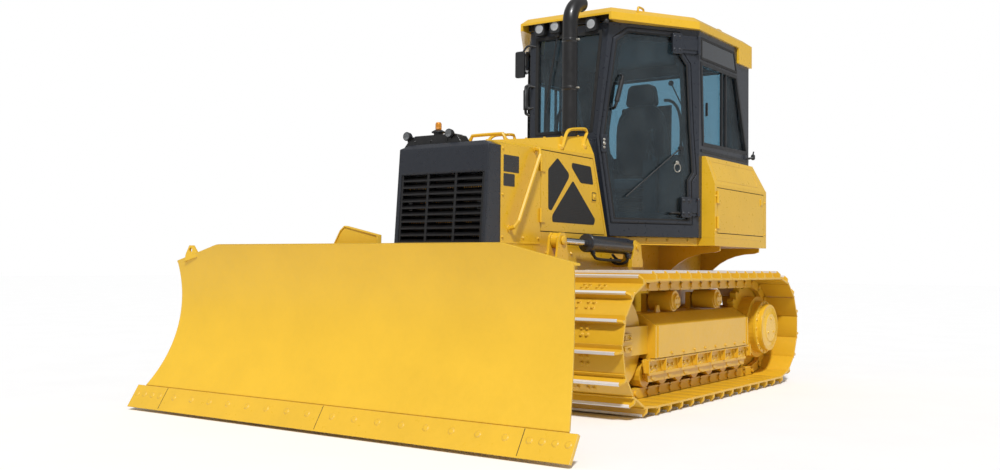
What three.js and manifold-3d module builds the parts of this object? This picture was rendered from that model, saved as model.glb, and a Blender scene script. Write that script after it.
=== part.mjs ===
// Crawler bulldozer with a power-angle-tilt blade, built as separate solids.
// Millimetres. +X is forward, +Y is the machine's left, +Z is up, and the origin is on the
// ground under the middle of the machine.
import * as THREE from 'three';
import { mergeVertices } from 'three/addons/utils/BufferGeometryUtils.js';
import Module from 'manifold-3d';

const wasm = await Module();
wasm.setup();

// ---------------------------------------------------------------- driving dimensions
const GAP = 0.3; // left between two solids that touch
const RUN = 6; // clearance round a door and beside a moving joint
const PIN_PLAY = 1; // radial play of a pin in its hole

const wheelbase = 2247; // sprocket centre to idler centre
const idlerX = 492;
const sprocketX = idlerX - wheelbase;
const shoeTipRadius = 440; // wheel centre to grouser tip, also the wheel centre's height
const wheelZ = shoeTipRadius;
const trackY = 842; // middle of a track
const shoeWidth = 620;
const shoeCount = 41;
const grouserHeight = 50;
const grouserThickness = 14;
const shoePlate = 14;
const chainDepth = 70; // height of the chain links
const linkThickness = 45;
const linkSpacing = 60; // between the two rows of links
const plateInner = shoeTipRadius - grouserHeight - shoePlate;
const chainInner = plateInner - chainDepth;

const frameHalfWidth = 350; // main frame, hood and radiator housing share it
const frameWall = 40;
const bellyZ = 330; // ground clearance
const frameTopZ = 1030;
const frameFrontX = 930;
const frameRearX = -2050;
const drawbarLength = 140;

const deckBottomZ = 1065;
const deckTopZ = 1125;

const hoodWall = 20;
const hoodFrontX = 953;
const hoodFrontShoulderZ = 1650;
const hoodFrontTopZ = 1676;
const hoodRearShoulderZ = 1690;
const hoodRearTopZ = 1825;
const hoodRearLowX = -401; // rear edge beside the deck
const hoodRearHighX = -205; // rear edge from the shoulder up
const hoodShoulder = 60; // width of the bevel between side and top
const hoodDoorStrip = 28; // sheet left behind a hood door
const hoodDoorFrontX = 490;
const hoodDoorBottomZ = 1131;
const hoodDoorTopZ = 1655;

const housingTopFrontX = 1071;
const housingBottomFrontX = 1121;
const housingTopZ = 1665;
const housingCorner = 25; // height of the bevel at the top corners
const grilleTopZ = 1470;
const grilleSill = 9; // under the grille's opening
const grilleSideMargin = 26;
const louvres = 10;

const engineLength = 950;
const engineWidth = 460;
const engineBottomZ = 520;
const engineTopZ = 1350;
const engineFrontX = 800;

const stackX = -110;
const stackY = 205;
const stackRadius = 53;
const stackWall = 6;
const stackBendRadius = 160;
const stackBendZ = 2622;
const stackBendAngle = 1.54;

const cabWall = 60;
const cabFrontLowX = -455; // front wall at the floor
const cabFrontBeltX = -365; // at the belt line
const cabFrontTopX = -443; // under the roof
const cabBeltZ = 1834;
const cabTopZ = 2680;
const cabCornerX = -1065; // where the slanted wall meets the straight one
const cabHalfWidth = 765;
const cabSlope = 0.688; // sideways run of the slanted wall for each millimetre back
const cabRearX = -2065;
const cabFloor = 40;
const cowlHalf = 270; // cowl between the hood and the cab
const doorThickness = 45;
const doorPost = 24; // width of the cab's post in front of a door
const doorHingeOut = 20; // hinge axis out from the door's face
const doorHingeInset = 16; // hinge axis ahead of the cab's corner
const hingeKnuckle = 14;
const panelHinge = 9; // knuckle radius of a panel door's hinge
const glassThickness = 10;
const glassInset = 14; // outer face of the glass behind the wall's face

const roofFrontX = -375;
const roofFrontHalf = 388;
const roofRearX = -2085;
const roofHalfWidth = 785;
const roofSheet = 18; // the visor is a sheet with a hollow below it
const roofEdge = 55;
const roofCrown = 43;
const roofCrownInset = 55;
const roofSkirtDepth = 125;
const roofSkirtFrontX = -1800;

const boxFrontX = -1117; // rear side boxes
const boxRearX = -2192;
const boxTopRearX = -2080;
const boxInnerY = 430;
const boxOuterY = 870;
const boxFoldZ = 1530;
const boxTopY = 793;
const boxTopZ = 1740;
const boxDoorThickness = 24;

const liftPivotX = -100; // rear pivots of the push frame
const liftPivotZ = 410;
const armInnerY = 400;
const armOuterY = 510;
const armHeight = 140;
const armStraightX = 1060; // where the arms start to close in on the nose
const kingpinX = 1450;
const kingpinRadius = 45;
const noseRadius = 85;

const cylinderY = 470; // lift cylinders
const liftBracketX = -560;
const liftBracketZ = 1046;
const towerPinX = 480;
const towerPinZ = 1068;
const eyeWidth = 44;
const earThickness = 16;
const liftPinRadius = 20;
const anglePinRadius = 16;
const tiltPinRadius = 18;
const earPlay = 3; // each side of an eye between its ears

const angleBarrelX = 1000; // angle cylinders
const angleBarrelY = 440;
const angleRodX = 1740;
const angleRodY = 330;
const angleZ = 548;

const tiltX = 1720; // tilt cylinder, across the back of the blade
const tiltBarrelY = -100;
const tiltBarrelZ = 985;
const tiltRodY = 580;
const tiltRodZ = 900;

const trunnionRadius = 60;
const trunnionX = 1700; // rear face of the blade's boss
const bossRadius = 96;

const bladeTopX = 1958;
const bladeTopZ = 1014;
const bladeBottomX = 2087;
const bladeBottomZ = 146;
const bladeRadius = 880;
const moldboard = 16;
const bladeCornerHalf = 1450;
const bladeCornerZ = 916;
const bladeTopHalf = 1035;
const bladeBackX = 1815; // rear face of the ribs
const bladeRearHalf = 1390; // half width at the rear face of the ribs
const bladeFlare = 0.47; // the ends widen by this much for each millimetre forward
const edgeTopX = 2101; // cutting edge
const edgeTopZ = 146;
const edgeTipX = 2181;
const edgeTipZ = 19;
const edgeThickness = 20;
const edgeHalf = 1574;

// ---------------------------------------------------------------- shapes
/** Turns a closed three.js geometry into a solid that can be joined and cut. */
function solidOf(geometry) {
  const bare = geometry.clone();
  bare.deleteAttribute('normal');
  bare.deleteAttribute('uv');
  const merged = mergeVertices(bare, 1e-4);
  const mesh = new wasm.Mesh({
    numProp: 3,
    vertProperties: new Float32Array(merged.attributes.position.array),
    triVerts: new Uint32Array(merged.index.array),
  });
  return new wasm.Manifold(mesh);
}

/** Turns a solid back into a three.js geometry. */
function geometryOf(solid) {
  const mesh = solid.getMesh();
  const geometry = new THREE.BufferGeometry();
  geometry.setAttribute('position', new THREE.BufferAttribute(new Float32Array(mesh.vertProperties), 3));
  geometry.setIndex(new THREE.BufferAttribute(new Uint32Array(mesh.triVerts), 1));
  geometry.computeVertexNormals();
  return geometry;
}

const join = (...solids) => solids.reduce((a, b) => a.add(b));
const cut = (solid, ...tools) => tools.reduce((a, b) => a.subtract(b), solid);
const common = (a, b) => a.intersect(b);

/** A box between two X, two Y and two Z values. */
function block(x0, x1, y0, y1, z0, z1) {
  const geometry = new THREE.BoxGeometry(x1 - x0, y1 - y0, z1 - z0);
  geometry.translate((x0 + x1) / 2, (y0 + y1) / 2, (z0 + z1) / 2);
  return solidOf(geometry);
}

/** Extrudes an outline drawn in the u, v plane along u × v, from 0 to depth. */
function extrude(outline, depth, origin, u, v) {
  const shape = new THREE.Shape(outline.map(([a, b]) => new THREE.Vector2(a, b)));
  const geometry = new THREE.ExtrudeGeometry(shape, { depth, bevelEnabled: false });
  const w = new THREE.Vector3().crossVectors(u, v);
  const matrix = new THREE.Matrix4().makeBasis(u, v, w).setPosition(origin);
  geometry.applyMatrix4(matrix);
  return solidOf(geometry);
}

const X = new THREE.Vector3(1, 0, 0);
const Y = new THREE.Vector3(0, 1, 0);
const Z = new THREE.Vector3(0, 0, 1);
const at = (x, y, z) => new THREE.Vector3(x, y, z);

/** An outline of [x, z] points carried from y0 to y1. */
const slabY = (outline, y0, y1) => extrude(outline.map(([x, z]) => [z, x]), y1 - y0, at(0, y0, 0), Z, X);
/** An outline of [y, z] points carried from x0 to x1. */
const slabX = (outline, x0, x1) => extrude(outline, x1 - x0, at(x0, 0, 0), Y, Z);
/** An outline of [x, y] points carried from z0 to z1. */
const slabZ = (outline, z0, z1) => extrude(outline, z1 - z0, at(0, 0, z0), X, Y);

/** A round bar between two points. */
function bar(from, to, radius, sides = 20) {
  const length = from.distanceTo(to);
  const geometry = new THREE.CylinderGeometry(radius, radius, length, sides);
  const direction = new THREE.Vector3().subVectors(to, from).normalize();
  geometry.applyQuaternion(new THREE.Quaternion().setFromUnitVectors(Y, direction));
  geometry.translate((from.x + to.x) / 2, (from.y + to.y) / 2, (from.z + to.z) / 2);
  return solidOf(geometry);
}

const barX = (x0, x1, y, z, radius, sides) => bar(at(x0, y, z), at(x1, y, z), radius, sides);
const barY = (y0, y1, x, z, radius, sides) => bar(at(x, y0, z), at(x, y1, z), radius, sides);
const barZ = (z0, z1, x, y, radius, sides) => bar(at(x, y, z0), at(x, y, z1), radius, sides);

/** A tube or rail along a curve. The section is a regular polygon. */
function rail(points, radius, { tension = 0.2, steps = 24, sides = 10, bore = 0 } = {}) {
  const curve = new THREE.CatmullRomCurve3(points, false, 'catmullrom', tension);
  const shape = new THREE.Shape(ring(radius, sides));
  if (bore > 0) shape.holes.push(new THREE.Path(ring(bore, sides).reverse()));
  return solidOf(new THREE.ExtrudeGeometry(shape, { steps, extrudePath: curve, bevelEnabled: false }));
}

function ring(radius, sides) {
  const points = [];
  for (let i = 0; i < sides; i += 1) {
    const angle = (2 * Math.PI * i) / sides;
    points.push(new THREE.Vector2(radius * Math.cos(angle), radius * Math.sin(angle)));
  }
  return points;
}

/** A convex solid through level outlines of [x, y, z] points, each with as many points. */
function loft(levels) {
  const count = levels[0].length;
  const positions = levels.flat(2);
  const index = [];
  for (let level = 0; level + 1 < levels.length; level += 1) {
    for (let i = 0; i < count; i += 1) {
      const a = level * count + i;
      const b = level * count + ((i + 1) % count);
      index.push(a, b, b + count, a, b + count, a + count);
    }
  }
  const top = (levels.length - 1) * count;
  for (let i = 1; i + 1 < count; i += 1) {
    index.push(0, i + 1, i);
    index.push(top, top + i, top + i + 1);
  }
  const geometry = new THREE.BufferGeometry();
  geometry.setAttribute('position', new THREE.BufferAttribute(new Float32Array(positions), 3));
  geometry.setIndex(index);
  return solidOf(geometry);
}

/** Moves each edge of an anticlockwise outline inwards. A negative distance moves it out. */
function inset(outline, distance) {
  const count = outline.length;
  const edges = outline.map(([x, y], i) => {
    const [x2, y2] = outline[(i + 1) % count];
    const length = Math.hypot(x2 - x, y2 - y);
    const normal = [-(y2 - y) / length, (x2 - x) / length];
    return { point: [x + normal[0] * distance, y + normal[1] * distance], along: [x2 - x, y2 - y] };
  });
  return edges.map((edge, i) => {
    const last = edges[(i + count - 1) % count];
    const cross = last.along[0] * edge.along[1] - last.along[1] * edge.along[0];
    const dx = edge.point[0] - last.point[0];
    const dy = edge.point[1] - last.point[1];
    const t = (dx * edge.along[1] - dy * edge.along[0]) / cross;
    return [last.point[0] + t * last.along[0], last.point[1] + t * last.along[1]];
  });
}

/** The mirror image of a solid on the machine's other side. */
function mirrored(solid) {
  const geometry = geometryOf(solid);
  geometry.scale(1, -1, 1);
  const index = geometry.index.array;
  for (let i = 0; i < index.length; i += 3) {
    const swap = index[i];
    index[i] = index[i + 1];
    index[i + 1] = swap;
  }
  return solidOf(geometry);
}

/** Both copies of a left-hand solid, joined. */
const both = (solid) => join(solid, mirrored(solid));

// ---------------------------------------------------------------- scene
const machine = new THREE.Group();

const finishes = {
  yellow: { color: 0xe8ac12, roughness: 0.45, metalness: 0.1 },
  slate: { color: 0x30353c, roughness: 0.5, metalness: 0.2 },
  black: { color: 0x121315, roughness: 0.6, metalness: 0.2 },
  steel: { color: 0x8d8f92, roughness: 0.3, metalness: 0.9 },
  glass: { color: 0x9fb6bd, roughness: 0.05, metalness: 0 },
  seat: { color: 0x1c1d20, roughness: 0.9, metalness: 0 },
  iron: { color: 0x4a4a48, roughness: 0.7, metalness: 0.5 },
};

/** Adds one named mesh. */
function part(name, solid, finish, parent = machine) {
  const mesh = new THREE.Mesh(geometryOf(solid), new THREE.MeshStandardMaterial(finishes[finish]));
  mesh.name = name;
  parent.add(mesh);
}

/** Adds a left-hand solid as left_NAME and its mirror image as right_NAME. */
function pair(name, solid, finish) {
  part(`left_${name}`, solid, finish);
  part(`right_${name}`, mirrored(solid), finish);
}

// ---------------------------------------------------------------- tracks
/** Point and outward direction at a distance along the loop of the given radius. */
function loopAt(distance, radius) {
  const arc = Math.PI * radius;
  const total = 2 * wheelbase + 2 * arc;
  let s = ((distance % total) + total) % total;
  if (s < wheelbase) return { point: [sprocketX + s, wheelZ - radius], out: [0, -1] };
  s -= wheelbase;
  if (s < arc) {
    const angle = -Math.PI / 2 + s / radius;
    const out = [Math.cos(angle), Math.sin(angle)];
    return { point: [idlerX + radius * out[0], wheelZ + radius * out[1]], out };
  }
  s -= arc;
  if (s < wheelbase) return { point: [idlerX - s, wheelZ + radius], out: [0, 1] };
  s -= wheelbase;
  const angle = Math.PI / 2 + s / radius;
  const out = [Math.cos(angle), Math.sin(angle)];
  return { point: [sprocketX + radius * out[0], wheelZ + radius * out[1]], out };
}

/** Chain joints: where one shoe ends and the next begins. */
function chainJoints() {
  const total = 2 * wheelbase + 2 * Math.PI * plateInner;
  const joints = [];
  for (let i = 0; i < shoeCount; i += 1) joints.push(loopAt((total * i) / shoeCount, plateInner));
  return joints;
}

function trackLoop() {
  const joints = chainJoints();
  const seam = 3; // half the gap between two shoes
  const outer = [];
  joints.forEach((joint, i) => {
    const next = joints[(i + 1) % shoeCount];
    const [dx, dz] = [next.point[0] - joint.point[0], next.point[1] - joint.point[1]];
    const length = Math.hypot(dx, dz);
    const t = [dx / length, dz / length];
    const n = [t[1], -t[0]];
    const onShoe = (along, height) => [
      joint.point[0] + t[0] * along + n[0] * height,
      joint.point[1] + t[1] * along + n[1] * height,
    ];
    const grouser = length * 0.86;
    const lip = shoePlate * 0.3;
    outer.push([joint.point[0] + joint.out[0] * lip, joint.point[1] + joint.out[1] * lip]);
    outer.push(onShoe(seam, shoePlate));
    outer.push(onShoe(grouser - grouserThickness, shoePlate));
    outer.push(onShoe(grouser - grouserThickness * 0.7, shoePlate + grouserHeight));
    outer.push(onShoe(grouser + grouserThickness * 0.2, shoePlate + grouserHeight));
    outer.push(onShoe(grouser + grouserThickness * 0.5, shoePlate));
    outer.push(onShoe(length - seam, shoePlate));
  });
  const inner = joints.map(({ point }) => point);
  const offset = (distance) => joints.map(({ point, out }) => (
    [point[0] + out[0] * distance, point[1] + out[1] * distance]
  ));
  const chainIn = offset(-chainDepth);
  const chainOut = offset(1);
  const [innerY, outerY] = [trackY - shoeWidth / 2, trackY + shoeWidth / 2];
  const shoes = cut(slabY(outer, innerY, outerY), slabY(inner, innerY - 1, outerY + 1));
  const links = [-1, 1].map((side) => {
    const near = trackY + (side * linkSpacing) / 2;
    const far = near + side * linkThickness;
    const low = Math.min(near, far);
    const high = Math.max(near, far);
    return cut(slabY(chainOut, low, high), slabY(chainIn, low - 1, high + 1));
  });
  return join(shoes, ...links);
}

// ---------------------------------------------------------------- wheels and track frames
const halfPitchAngle = (2 * wheelbase + 2 * Math.PI * plateInner) / shoeCount / plateInner / 2;
const wheelTread = chainInner * Math.cos(halfPitchAngle) - GAP;
const idlerFlange = 24;
const idlerShaft = 80;
const yokeInner = linkSpacing / 2 + linkThickness + 20;
const yokeThickness = 20;

function idler() {
  const treadHalf = linkSpacing / 2 + linkThickness;
  const flangeHalf = linkSpacing / 2 - 4;
  return join(
    barY(trackY - treadHalf, trackY + treadHalf, idlerX, wheelZ, wheelTread, 32),
    barY(trackY - flangeHalf, trackY + flangeHalf, idlerX, wheelZ, wheelTread + idlerFlange, 32),
    barY(trackY - yokeInner + GAP, trackY + yokeInner - GAP, idlerX, wheelZ, idlerShaft),
  );
}

const toothCount = 25;
const toothTip = wheelTread + 46;
const toothRoot = wheelTread + 12;
const toothHalf = linkSpacing / 2 - 5;
const driveCaseRadius = 165;
const hubRadius = 178;
const hubOuterY = 1062;

function sprocket() {
  const outline = [];
  for (let i = 0; i < toothCount; i += 1) {
    const shares = [[0, toothRoot], [0.3, toothRoot], [0.5, toothTip], [0.8, toothTip]];
    shares.forEach(([share, radius]) => {
      const angle = (2 * Math.PI * (i + share)) / toothCount;
      outline.push([sprocketX + radius * Math.cos(angle), wheelZ + radius * Math.sin(angle)]);
    });
  }
  return join(
    slabY(outline, trackY - toothHalf, trackY + toothHalf),
    barY(frameHalfWidth + GAP, trackY, sprocketX, wheelZ, driveCaseRadius, 32),
    barY(trackY, trackY + 120, sprocketX, wheelZ, wheelTread - 60, 36),
    barY(trackY + 100, hubOuterY - 40, sprocketX, wheelZ, hubRadius + 26, 36),
    barY(hubOuterY - 50, hubOuterY, sprocketX, wheelZ, hubRadius, 36),
  );
}

const rollerCount = 7;
const rollerRadius = 80;
const rollerZ = wheelZ - chainInner + rollerRadius + GAP;
const rollerDrop = wheelZ - rollerZ;
const beside = (radius) => Math.sqrt((radius + rollerRadius + RUN) ** 2 - rollerDrop ** 2);
const rollerFrontX = idlerX - beside(wheelTread + idlerFlange);
const rollerRearX = sprocketX + beside(toothTip);
const guardY = 118; // inner face of a roller guard from the track's middle
const guardThickness = 16;
const trackFrameBottomZ = 322;

function rollerBank() {
  const pieces = [];
  const reach = guardY + guardThickness / 2;
  for (let i = 0; i < rollerCount; i += 1) {
    const x = rollerRearX + ((rollerFrontX - rollerRearX) * i) / (rollerCount - 1);
    pieces.push(barY(trackY - 90, trackY + 90, x, rollerZ, rollerRadius, 16));
    pieces.push(barY(trackY - reach, trackY + reach, x, rollerZ, 34, 8));
  }
  const outline = [
    [rollerRearX - 90, trackFrameBottomZ - GAP],
    [rollerRearX - 40, rollerZ - 42],
    [rollerFrontX + 40, rollerZ - 42],
    [rollerFrontX + 90, trackFrameBottomZ - GAP],
  ];
  [-1, 1].forEach((side) => {
    const near = trackY + side * guardY;
    const far = near + side * guardThickness;
    pieces.push(slabY(outline, Math.min(near, far), Math.max(near, far)));
  });
  return join(...pieces);
}

const carrierRadius = 64;
const carrierXs = [-1010, -290];
const coverTopZ = 600;
const coverFoldZ = 530;
const coverInner = -150;
const coverOuter = 170;
const coverFold = 60;
const coverFrontX = idlerX - wheelTread - idlerFlange - RUN;
const coverRearX = sprocketX + toothTip + RUN;

function trackFrame() {
  const section = [
    [trackY + coverInner, trackFrameBottomZ],
    [trackY + coverOuter, trackFrameBottomZ],
    [trackY + coverOuter, coverFoldZ],
    [trackY + coverFold, coverTopZ],
    [trackY + coverInner, coverTopZ],
  ];
  const pieces = [slabX(section, coverRearX, coverFrontX)];
  const yoke = [
    [coverFrontX - 60, wheelZ - 90],
    [idlerX - 30, wheelZ - 90],
    [idlerX + 60, wheelZ - 60],
    [idlerX + 60, wheelZ + 50],
    [idlerX - 20, wheelZ + 90],
    [coverFrontX - 60, wheelZ + 90],
  ];
  [-1, 1].forEach((side) => {
    const near = trackY + side * yokeInner;
    const far = near + side * yokeThickness;
    pieces.push(slabY(yoke, Math.min(near, far), Math.max(near, far)));
  });
  carrierXs.forEach((x) => {
    const z = wheelZ + chainInner - carrierRadius - GAP;
    pieces.push(barY(trackY - 80, trackY + 95, x, z, carrierRadius, 24));
    pieces.push(block(x - 45, x + 45, trackY - 140, trackY - 100, coverTopZ - 5, z + 40));
    pieces.push(barY(trackY - 120, trackY - 70, x, z, 30, 16));
  });
  [-450, -1250].forEach((x) => {
    pieces.push(barY(frameHalfWidth + GAP, trackY + coverInner + 20, x, wheelZ - 10, 85, 24));
  });
  return join(...pieces);
}

// ---------------------------------------------------------------- main frame
function liftBracket() {
  const halfEye = eyeWidth / 2 + earPlay;
  const ear = [
    [liftBracketX - 90, 900],
    [liftBracketX + 80, 900],
    [liftBracketX + 44, liftBracketZ],
    [liftBracketX + 25, liftBracketZ + 48],
    [liftBracketX - 60, liftBracketZ + 18],
  ];
  const near = cylinderY - halfEye - earThickness;
  const far = cylinderY + halfEye + earThickness;
  return join(
    slabY(ear, near, near + earThickness),
    slabY(ear, far - earThickness, far),
    block(liftBracketX - 90, liftBracketX + 80, frameHalfWidth - 20, far, 900, 960),
    barY(near + 2, far + 8, liftBracketX, liftBracketZ, liftPinRadius, 16),
  );
}

function mainFrame() {
  const w = frameHalfWidth;
  const tub = cut(
    block(frameRearX, frameFrontX, -w, w, bellyZ, frameTopZ - GAP),
    block(-1300, frameFrontX - 30, -w + frameWall, w - frameWall, bellyZ + 30, frameTopZ + 10),
  );
  const rearCase = block(frameRearX, -1250, -w, w, bellyZ + 60, deckBottomZ - GAP);
  const shoulderTopZ = deckBottomZ - GAP;
  const rearShoulder = both(block(-1250, liftBracketX - 90, w - frameWall, w, frameTopZ - 50, shoulderTopZ));
  const engineBeds = [0, 640].map((x) => block(x, x + 80, -w + 20, w - 20, bellyZ + 20, engineBottomZ - GAP));
  const drawbar = cut(
    block(frameRearX - drawbarLength, frameRearX + 20, -70, 70, 430, 560),
    block(frameRearX - drawbarLength - 10, frameRearX - 20, -90, 90, 470, 520),
  );
  const hitchPin = barZ(420, 590, frameRearX - 70, 0, 24, 20);
  const pivots = both(join(
    barY(w - 10, armInnerY - RUN, liftPivotX, liftPivotZ, 80),
    barY(w, armOuterY + 6, liftPivotX, liftPivotZ, 38),
  ));
  const radiatorShelf = block(860, frameFrontX, -w + 20, w - 20, frameTopZ - 60, frameTopZ - GAP);
  return join(tub, rearCase, rearShoulder, ...engineBeds, drawbar, hitchPin, pivots, radiatorShelf,
    both(liftBracket()));
}

function deck() {
  const side = cabHalfWidth - 30;
  const left = [
    [cabFrontLowX - 80, frameHalfWidth], [cabCornerX - 30, side], [boxFrontX, side],
    [boxFrontX, boxOuterY], [boxRearX, boxOuterY],
  ];
  const right = left.map(([x, y]) => [x, -y]).reverse();
  const [near, far] = [cylinderY - 75, cylinderY + 90];
  const notch = block(liftBracketX - 110, liftBracketX + 150, near, far, deckBottomZ - 5, deckTopZ + 5);
  return cut(slabZ([...left, ...right], deckBottomZ, deckTopZ), both(notch));
}

function engine() {
  const half = engineWidth / 2;
  return block(engineFrontX - engineLength, engineFrontX, -half, half, engineBottomZ, engineTopZ);
}

// ---------------------------------------------------------------- cab
/** Front wall of the cab at a height. */
function cabFrontX(z) {
  const [z0, z1] = z < cabBeltZ ? [deckTopZ, cabBeltZ] : [cabBeltZ, cabTopZ];
  const [x0, x1] = z < cabBeltZ ? [cabFrontLowX, cabFrontBeltX] : [cabFrontBeltX, cabFrontTopX];
  return x0 + ((x1 - x0) * (z - z0)) / (z1 - z0);
}

const slantY = (x) => cabHalfWidth - (x - cabCornerX) * cabSlope;

/** The cab's outline at a height, anticlockwise, moved in by a distance. */
function cabOutline(z, distance) {
  const front = cabFrontX(z);
  const outline = [
    [front, slantY(front)], [cabCornerX, cabHalfWidth], [cabRearX, cabHalfWidth],
    [cabRearX, -cabHalfWidth], [cabCornerX, -cabHalfWidth], [front, -slantY(front)],
  ];
  return inset(outline, distance);
}

function cabBody(distance, bottomZ, topZ) {
  const levels = [bottomZ, cabBeltZ, topZ];
  return loft(levels.map((z) => cabOutline(z, distance).map(([x, y]) => [x, y, z])));
}

// The slanted wall's own directions: back along the wall, and out through it.
const wallRun = Math.hypot(1, cabSlope);
const wallBack = at(-1 / wallRun, cabSlope / wallRun, 0);
const wallOut = at(cabSlope / wallRun, 1 / wallRun, 0);
const wallStart = at(-380, slantY(-380), 0);

/** Distances along the slanted wall: its front edge at a height, and the cab's corner. */
const wallFrontS = (z) => (wallStart.x - cabFrontX(z)) * wallRun;
const cornerS = (wallStart.x - cabCornerX) * wallRun;
const doorHingeS = cornerS - doorHingeInset;
/** Each hinge's height and the door's edge beside it. */
const cabHinges = [{ z: 1348, edgeS: cornerS - 69 }, { z: 2564, edgeS: cornerS - 150 }];
const cabHingeHalf = 65;

/** The door steps in beside each hinge. */
const doorBottomZ = 1222;
const doorTopZ = 2650;
const doorOutline = [
  [wallFrontS(doorBottomZ) + doorPost, doorBottomZ], [cornerS - 60, doorBottomZ], [cornerS - 67, 1540],
  [cornerS - 25, 1600], [cornerS - 51, 1930], [cornerS - 77, 2420], [cornerS - 131, 2490],
  [cornerS - 145, doorTopZ - 30], [cornerS - 175, doorTopZ], [wallFrontS(doorTopZ) + 150, doorTopZ],
  [wallFrontS(2565) + doorPost + 20, 2565], [wallFrontS(cabBeltZ) + doorPost, cabBeltZ],
];

/** A slab on the slanted wall, from one depth inside its face to another. */
function onSlantedWall(outline, innerDepth, outerDepth) {
  const origin = wallStart.clone().addScaledVector(wallOut, -innerDepth);
  return extrude(outline, innerDepth - outerDepth, origin, wallBack, Z);
}

const doorGlassMargin = 32;
const sideWindow = [
  [cabRearX + 275, 2442], [cabRearX + 50, 1846], [cabCornerX - 70, 1832], [cabCornerX - 34, 2440],
];
const windscreenHalf = [236, 276]; // at the bottom and the top
const windscreenZ = [1885, 2615];
const rearWindowHalf = 560;
const rearWindowZ = [1850, 2550];

const screenOutline = (grow) => [
  [-windscreenHalf[0] - grow, windscreenZ[0] - grow], [windscreenHalf[0] + grow, windscreenZ[0] - grow],
  [windscreenHalf[1] + grow, windscreenZ[1] + grow], [-windscreenHalf[1] - grow, windscreenZ[1] + grow],
];
const rearOutline = (grow) => {
  const half = rearWindowHalf + grow;
  const [low, high] = [rearWindowZ[0] - grow, rearWindowZ[1] + grow];
  return [[-half, low], [half, low], [half, high], [-half, high]];
};

/** The left rear box's outer shape, moved out on every side by a distance. */
function boxShape(grow) {
  const section = [
    [boxInnerY - grow, deckTopZ + GAP - grow], [boxOuterY + grow, deckTopZ + GAP - grow],
    [boxOuterY + grow, boxFoldZ], [boxTopY + grow, boxTopZ + grow], [boxInnerY - grow, boxTopZ + grow],
  ];
  const side = [
    [boxRearX - grow, deckTopZ - 10], [boxFrontX + grow, deckTopZ - 10], [boxFrontX + grow, boxTopZ + 10],
    [boxTopRearX - grow, boxTopZ + 10], [boxTopRearX - grow, boxTopZ + grow], [boxRearX - grow, boxFoldZ],
  ];
  const across = slabX(section, boxRearX - grow, boxFrontX + grow);
  return common(across, slabY(side, boxInnerY - grow, boxOuterY + grow));
}

function cabFrame() {
  const shell = cut(
    cabBody(0, deckTopZ + GAP, cabTopZ),
    cabBody(cabWall, deckTopZ + cabFloor, cabTopZ + 1),
  );
  const doorway = onSlantedWall(inset(doorOutline, -RUN), cabWall + 60, -60);
  const window = slabY(sideWindow, cabHalfWidth - cabWall - 20, cabHalfWidth + 20);
  const pads = both(join(...cabHinges.map(cabHingePad)));
  const box = boxShape(GAP);
  return cut(
    join(shell, pads, cowl()), doorway, mirrored(doorway), window, mirrored(window), box, mirrored(box),
    slabX(screenOutline(0), cabFrontTopX - 150, 0),
    slabX(rearOutline(0), cabRearX - 20, cabRearX + cabWall + 20),
  );
}

/** Closes the space between the cab's front wall and the open rear end of the hood. */
function cowl() {
  const z0 = deckTopZ + GAP;
  const rearAt = (z) => cabFrontX(z) - cabWall / 2;
  return slabY([
    [rearAt(z0), z0], [hoodRearX(z0) - hoodRearGap, z0], [hoodRearHighX - hoodRearGap, hoodRearShoulderZ],
    [hoodRearHighX - hoodRearGap, hoodRearTopZ], [rearAt(hoodRearTopZ), hoodRearTopZ],
  ], -cowlHalf, cowlHalf);
}

/** The thin skin in which all the fixed panes lie. */
function glassSkin() {
  return cut(
    cabBody(glassInset, deckTopZ + 60, cabTopZ - 10),
    cabBody(glassInset + glassThickness, deckTopZ + 50, cabTopZ),
  );
}

/** A point out from the slanted wall's face: along it, out from it, and up. */
function offSlantedWall(s, out, z) {
  return wallStart.clone().addScaledVector(wallBack, s).addScaledVector(wallOut, out).setZ(z);
}

/** The leaf and knuckle of one hinge, which the cab door carries. */
function cabHingeLeaf({ z, edgeS }) {
  const low = z - cabHingeHalf;
  const high = z + cabHingeHalf;
  const strip = (s0, s1) => [[s0, low], [s1, low], [s1, high], [s0, high]];
  const seatOut = doorHingeOut - hingeKnuckle;
  const leafStart = edgeS - 26;
  const pin = [low, high].map((end) => offSlantedWall(doorHingeS, doorHingeOut, end));
  return join(
    onSlantedWall(strip(leafStart, edgeS - 4), 5, -seatOut - 8),
    onSlantedWall(strip(leafStart, doorHingeS), -seatOut, -seatOut - 8),
    bar(...pin, hingeKnuckle, 16),
  );
}

/** The pad on the cab's post behind a hinge knuckle. */
function cabHingePad({ z }) {
  const [low, high] = [z - cabHingeHalf, z + cabHingeHalf];
  const [near, far] = [doorHingeS - 3, doorHingeS + 12];
  const reach = doorHingeOut - hingeKnuckle - GAP;
  return onSlantedWall([[near, low], [far, low], [far, high], [near, high]], 5, -reach);
}

function cabDoor() {
  const panel = onSlantedWall(doorOutline, doorThickness, 0);
  const pane = onSlantedWall(inset(doorOutline, doorGlassMargin), doorThickness + 20, -20);
  return join(cut(panel, pane), ...cabHinges.map(cabHingeLeaf));
}

function doorGlass() {
  const depth = glassInset;
  return onSlantedWall(inset(doorOutline, doorGlassMargin + GAP), depth + glassThickness, depth);
}

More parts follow.
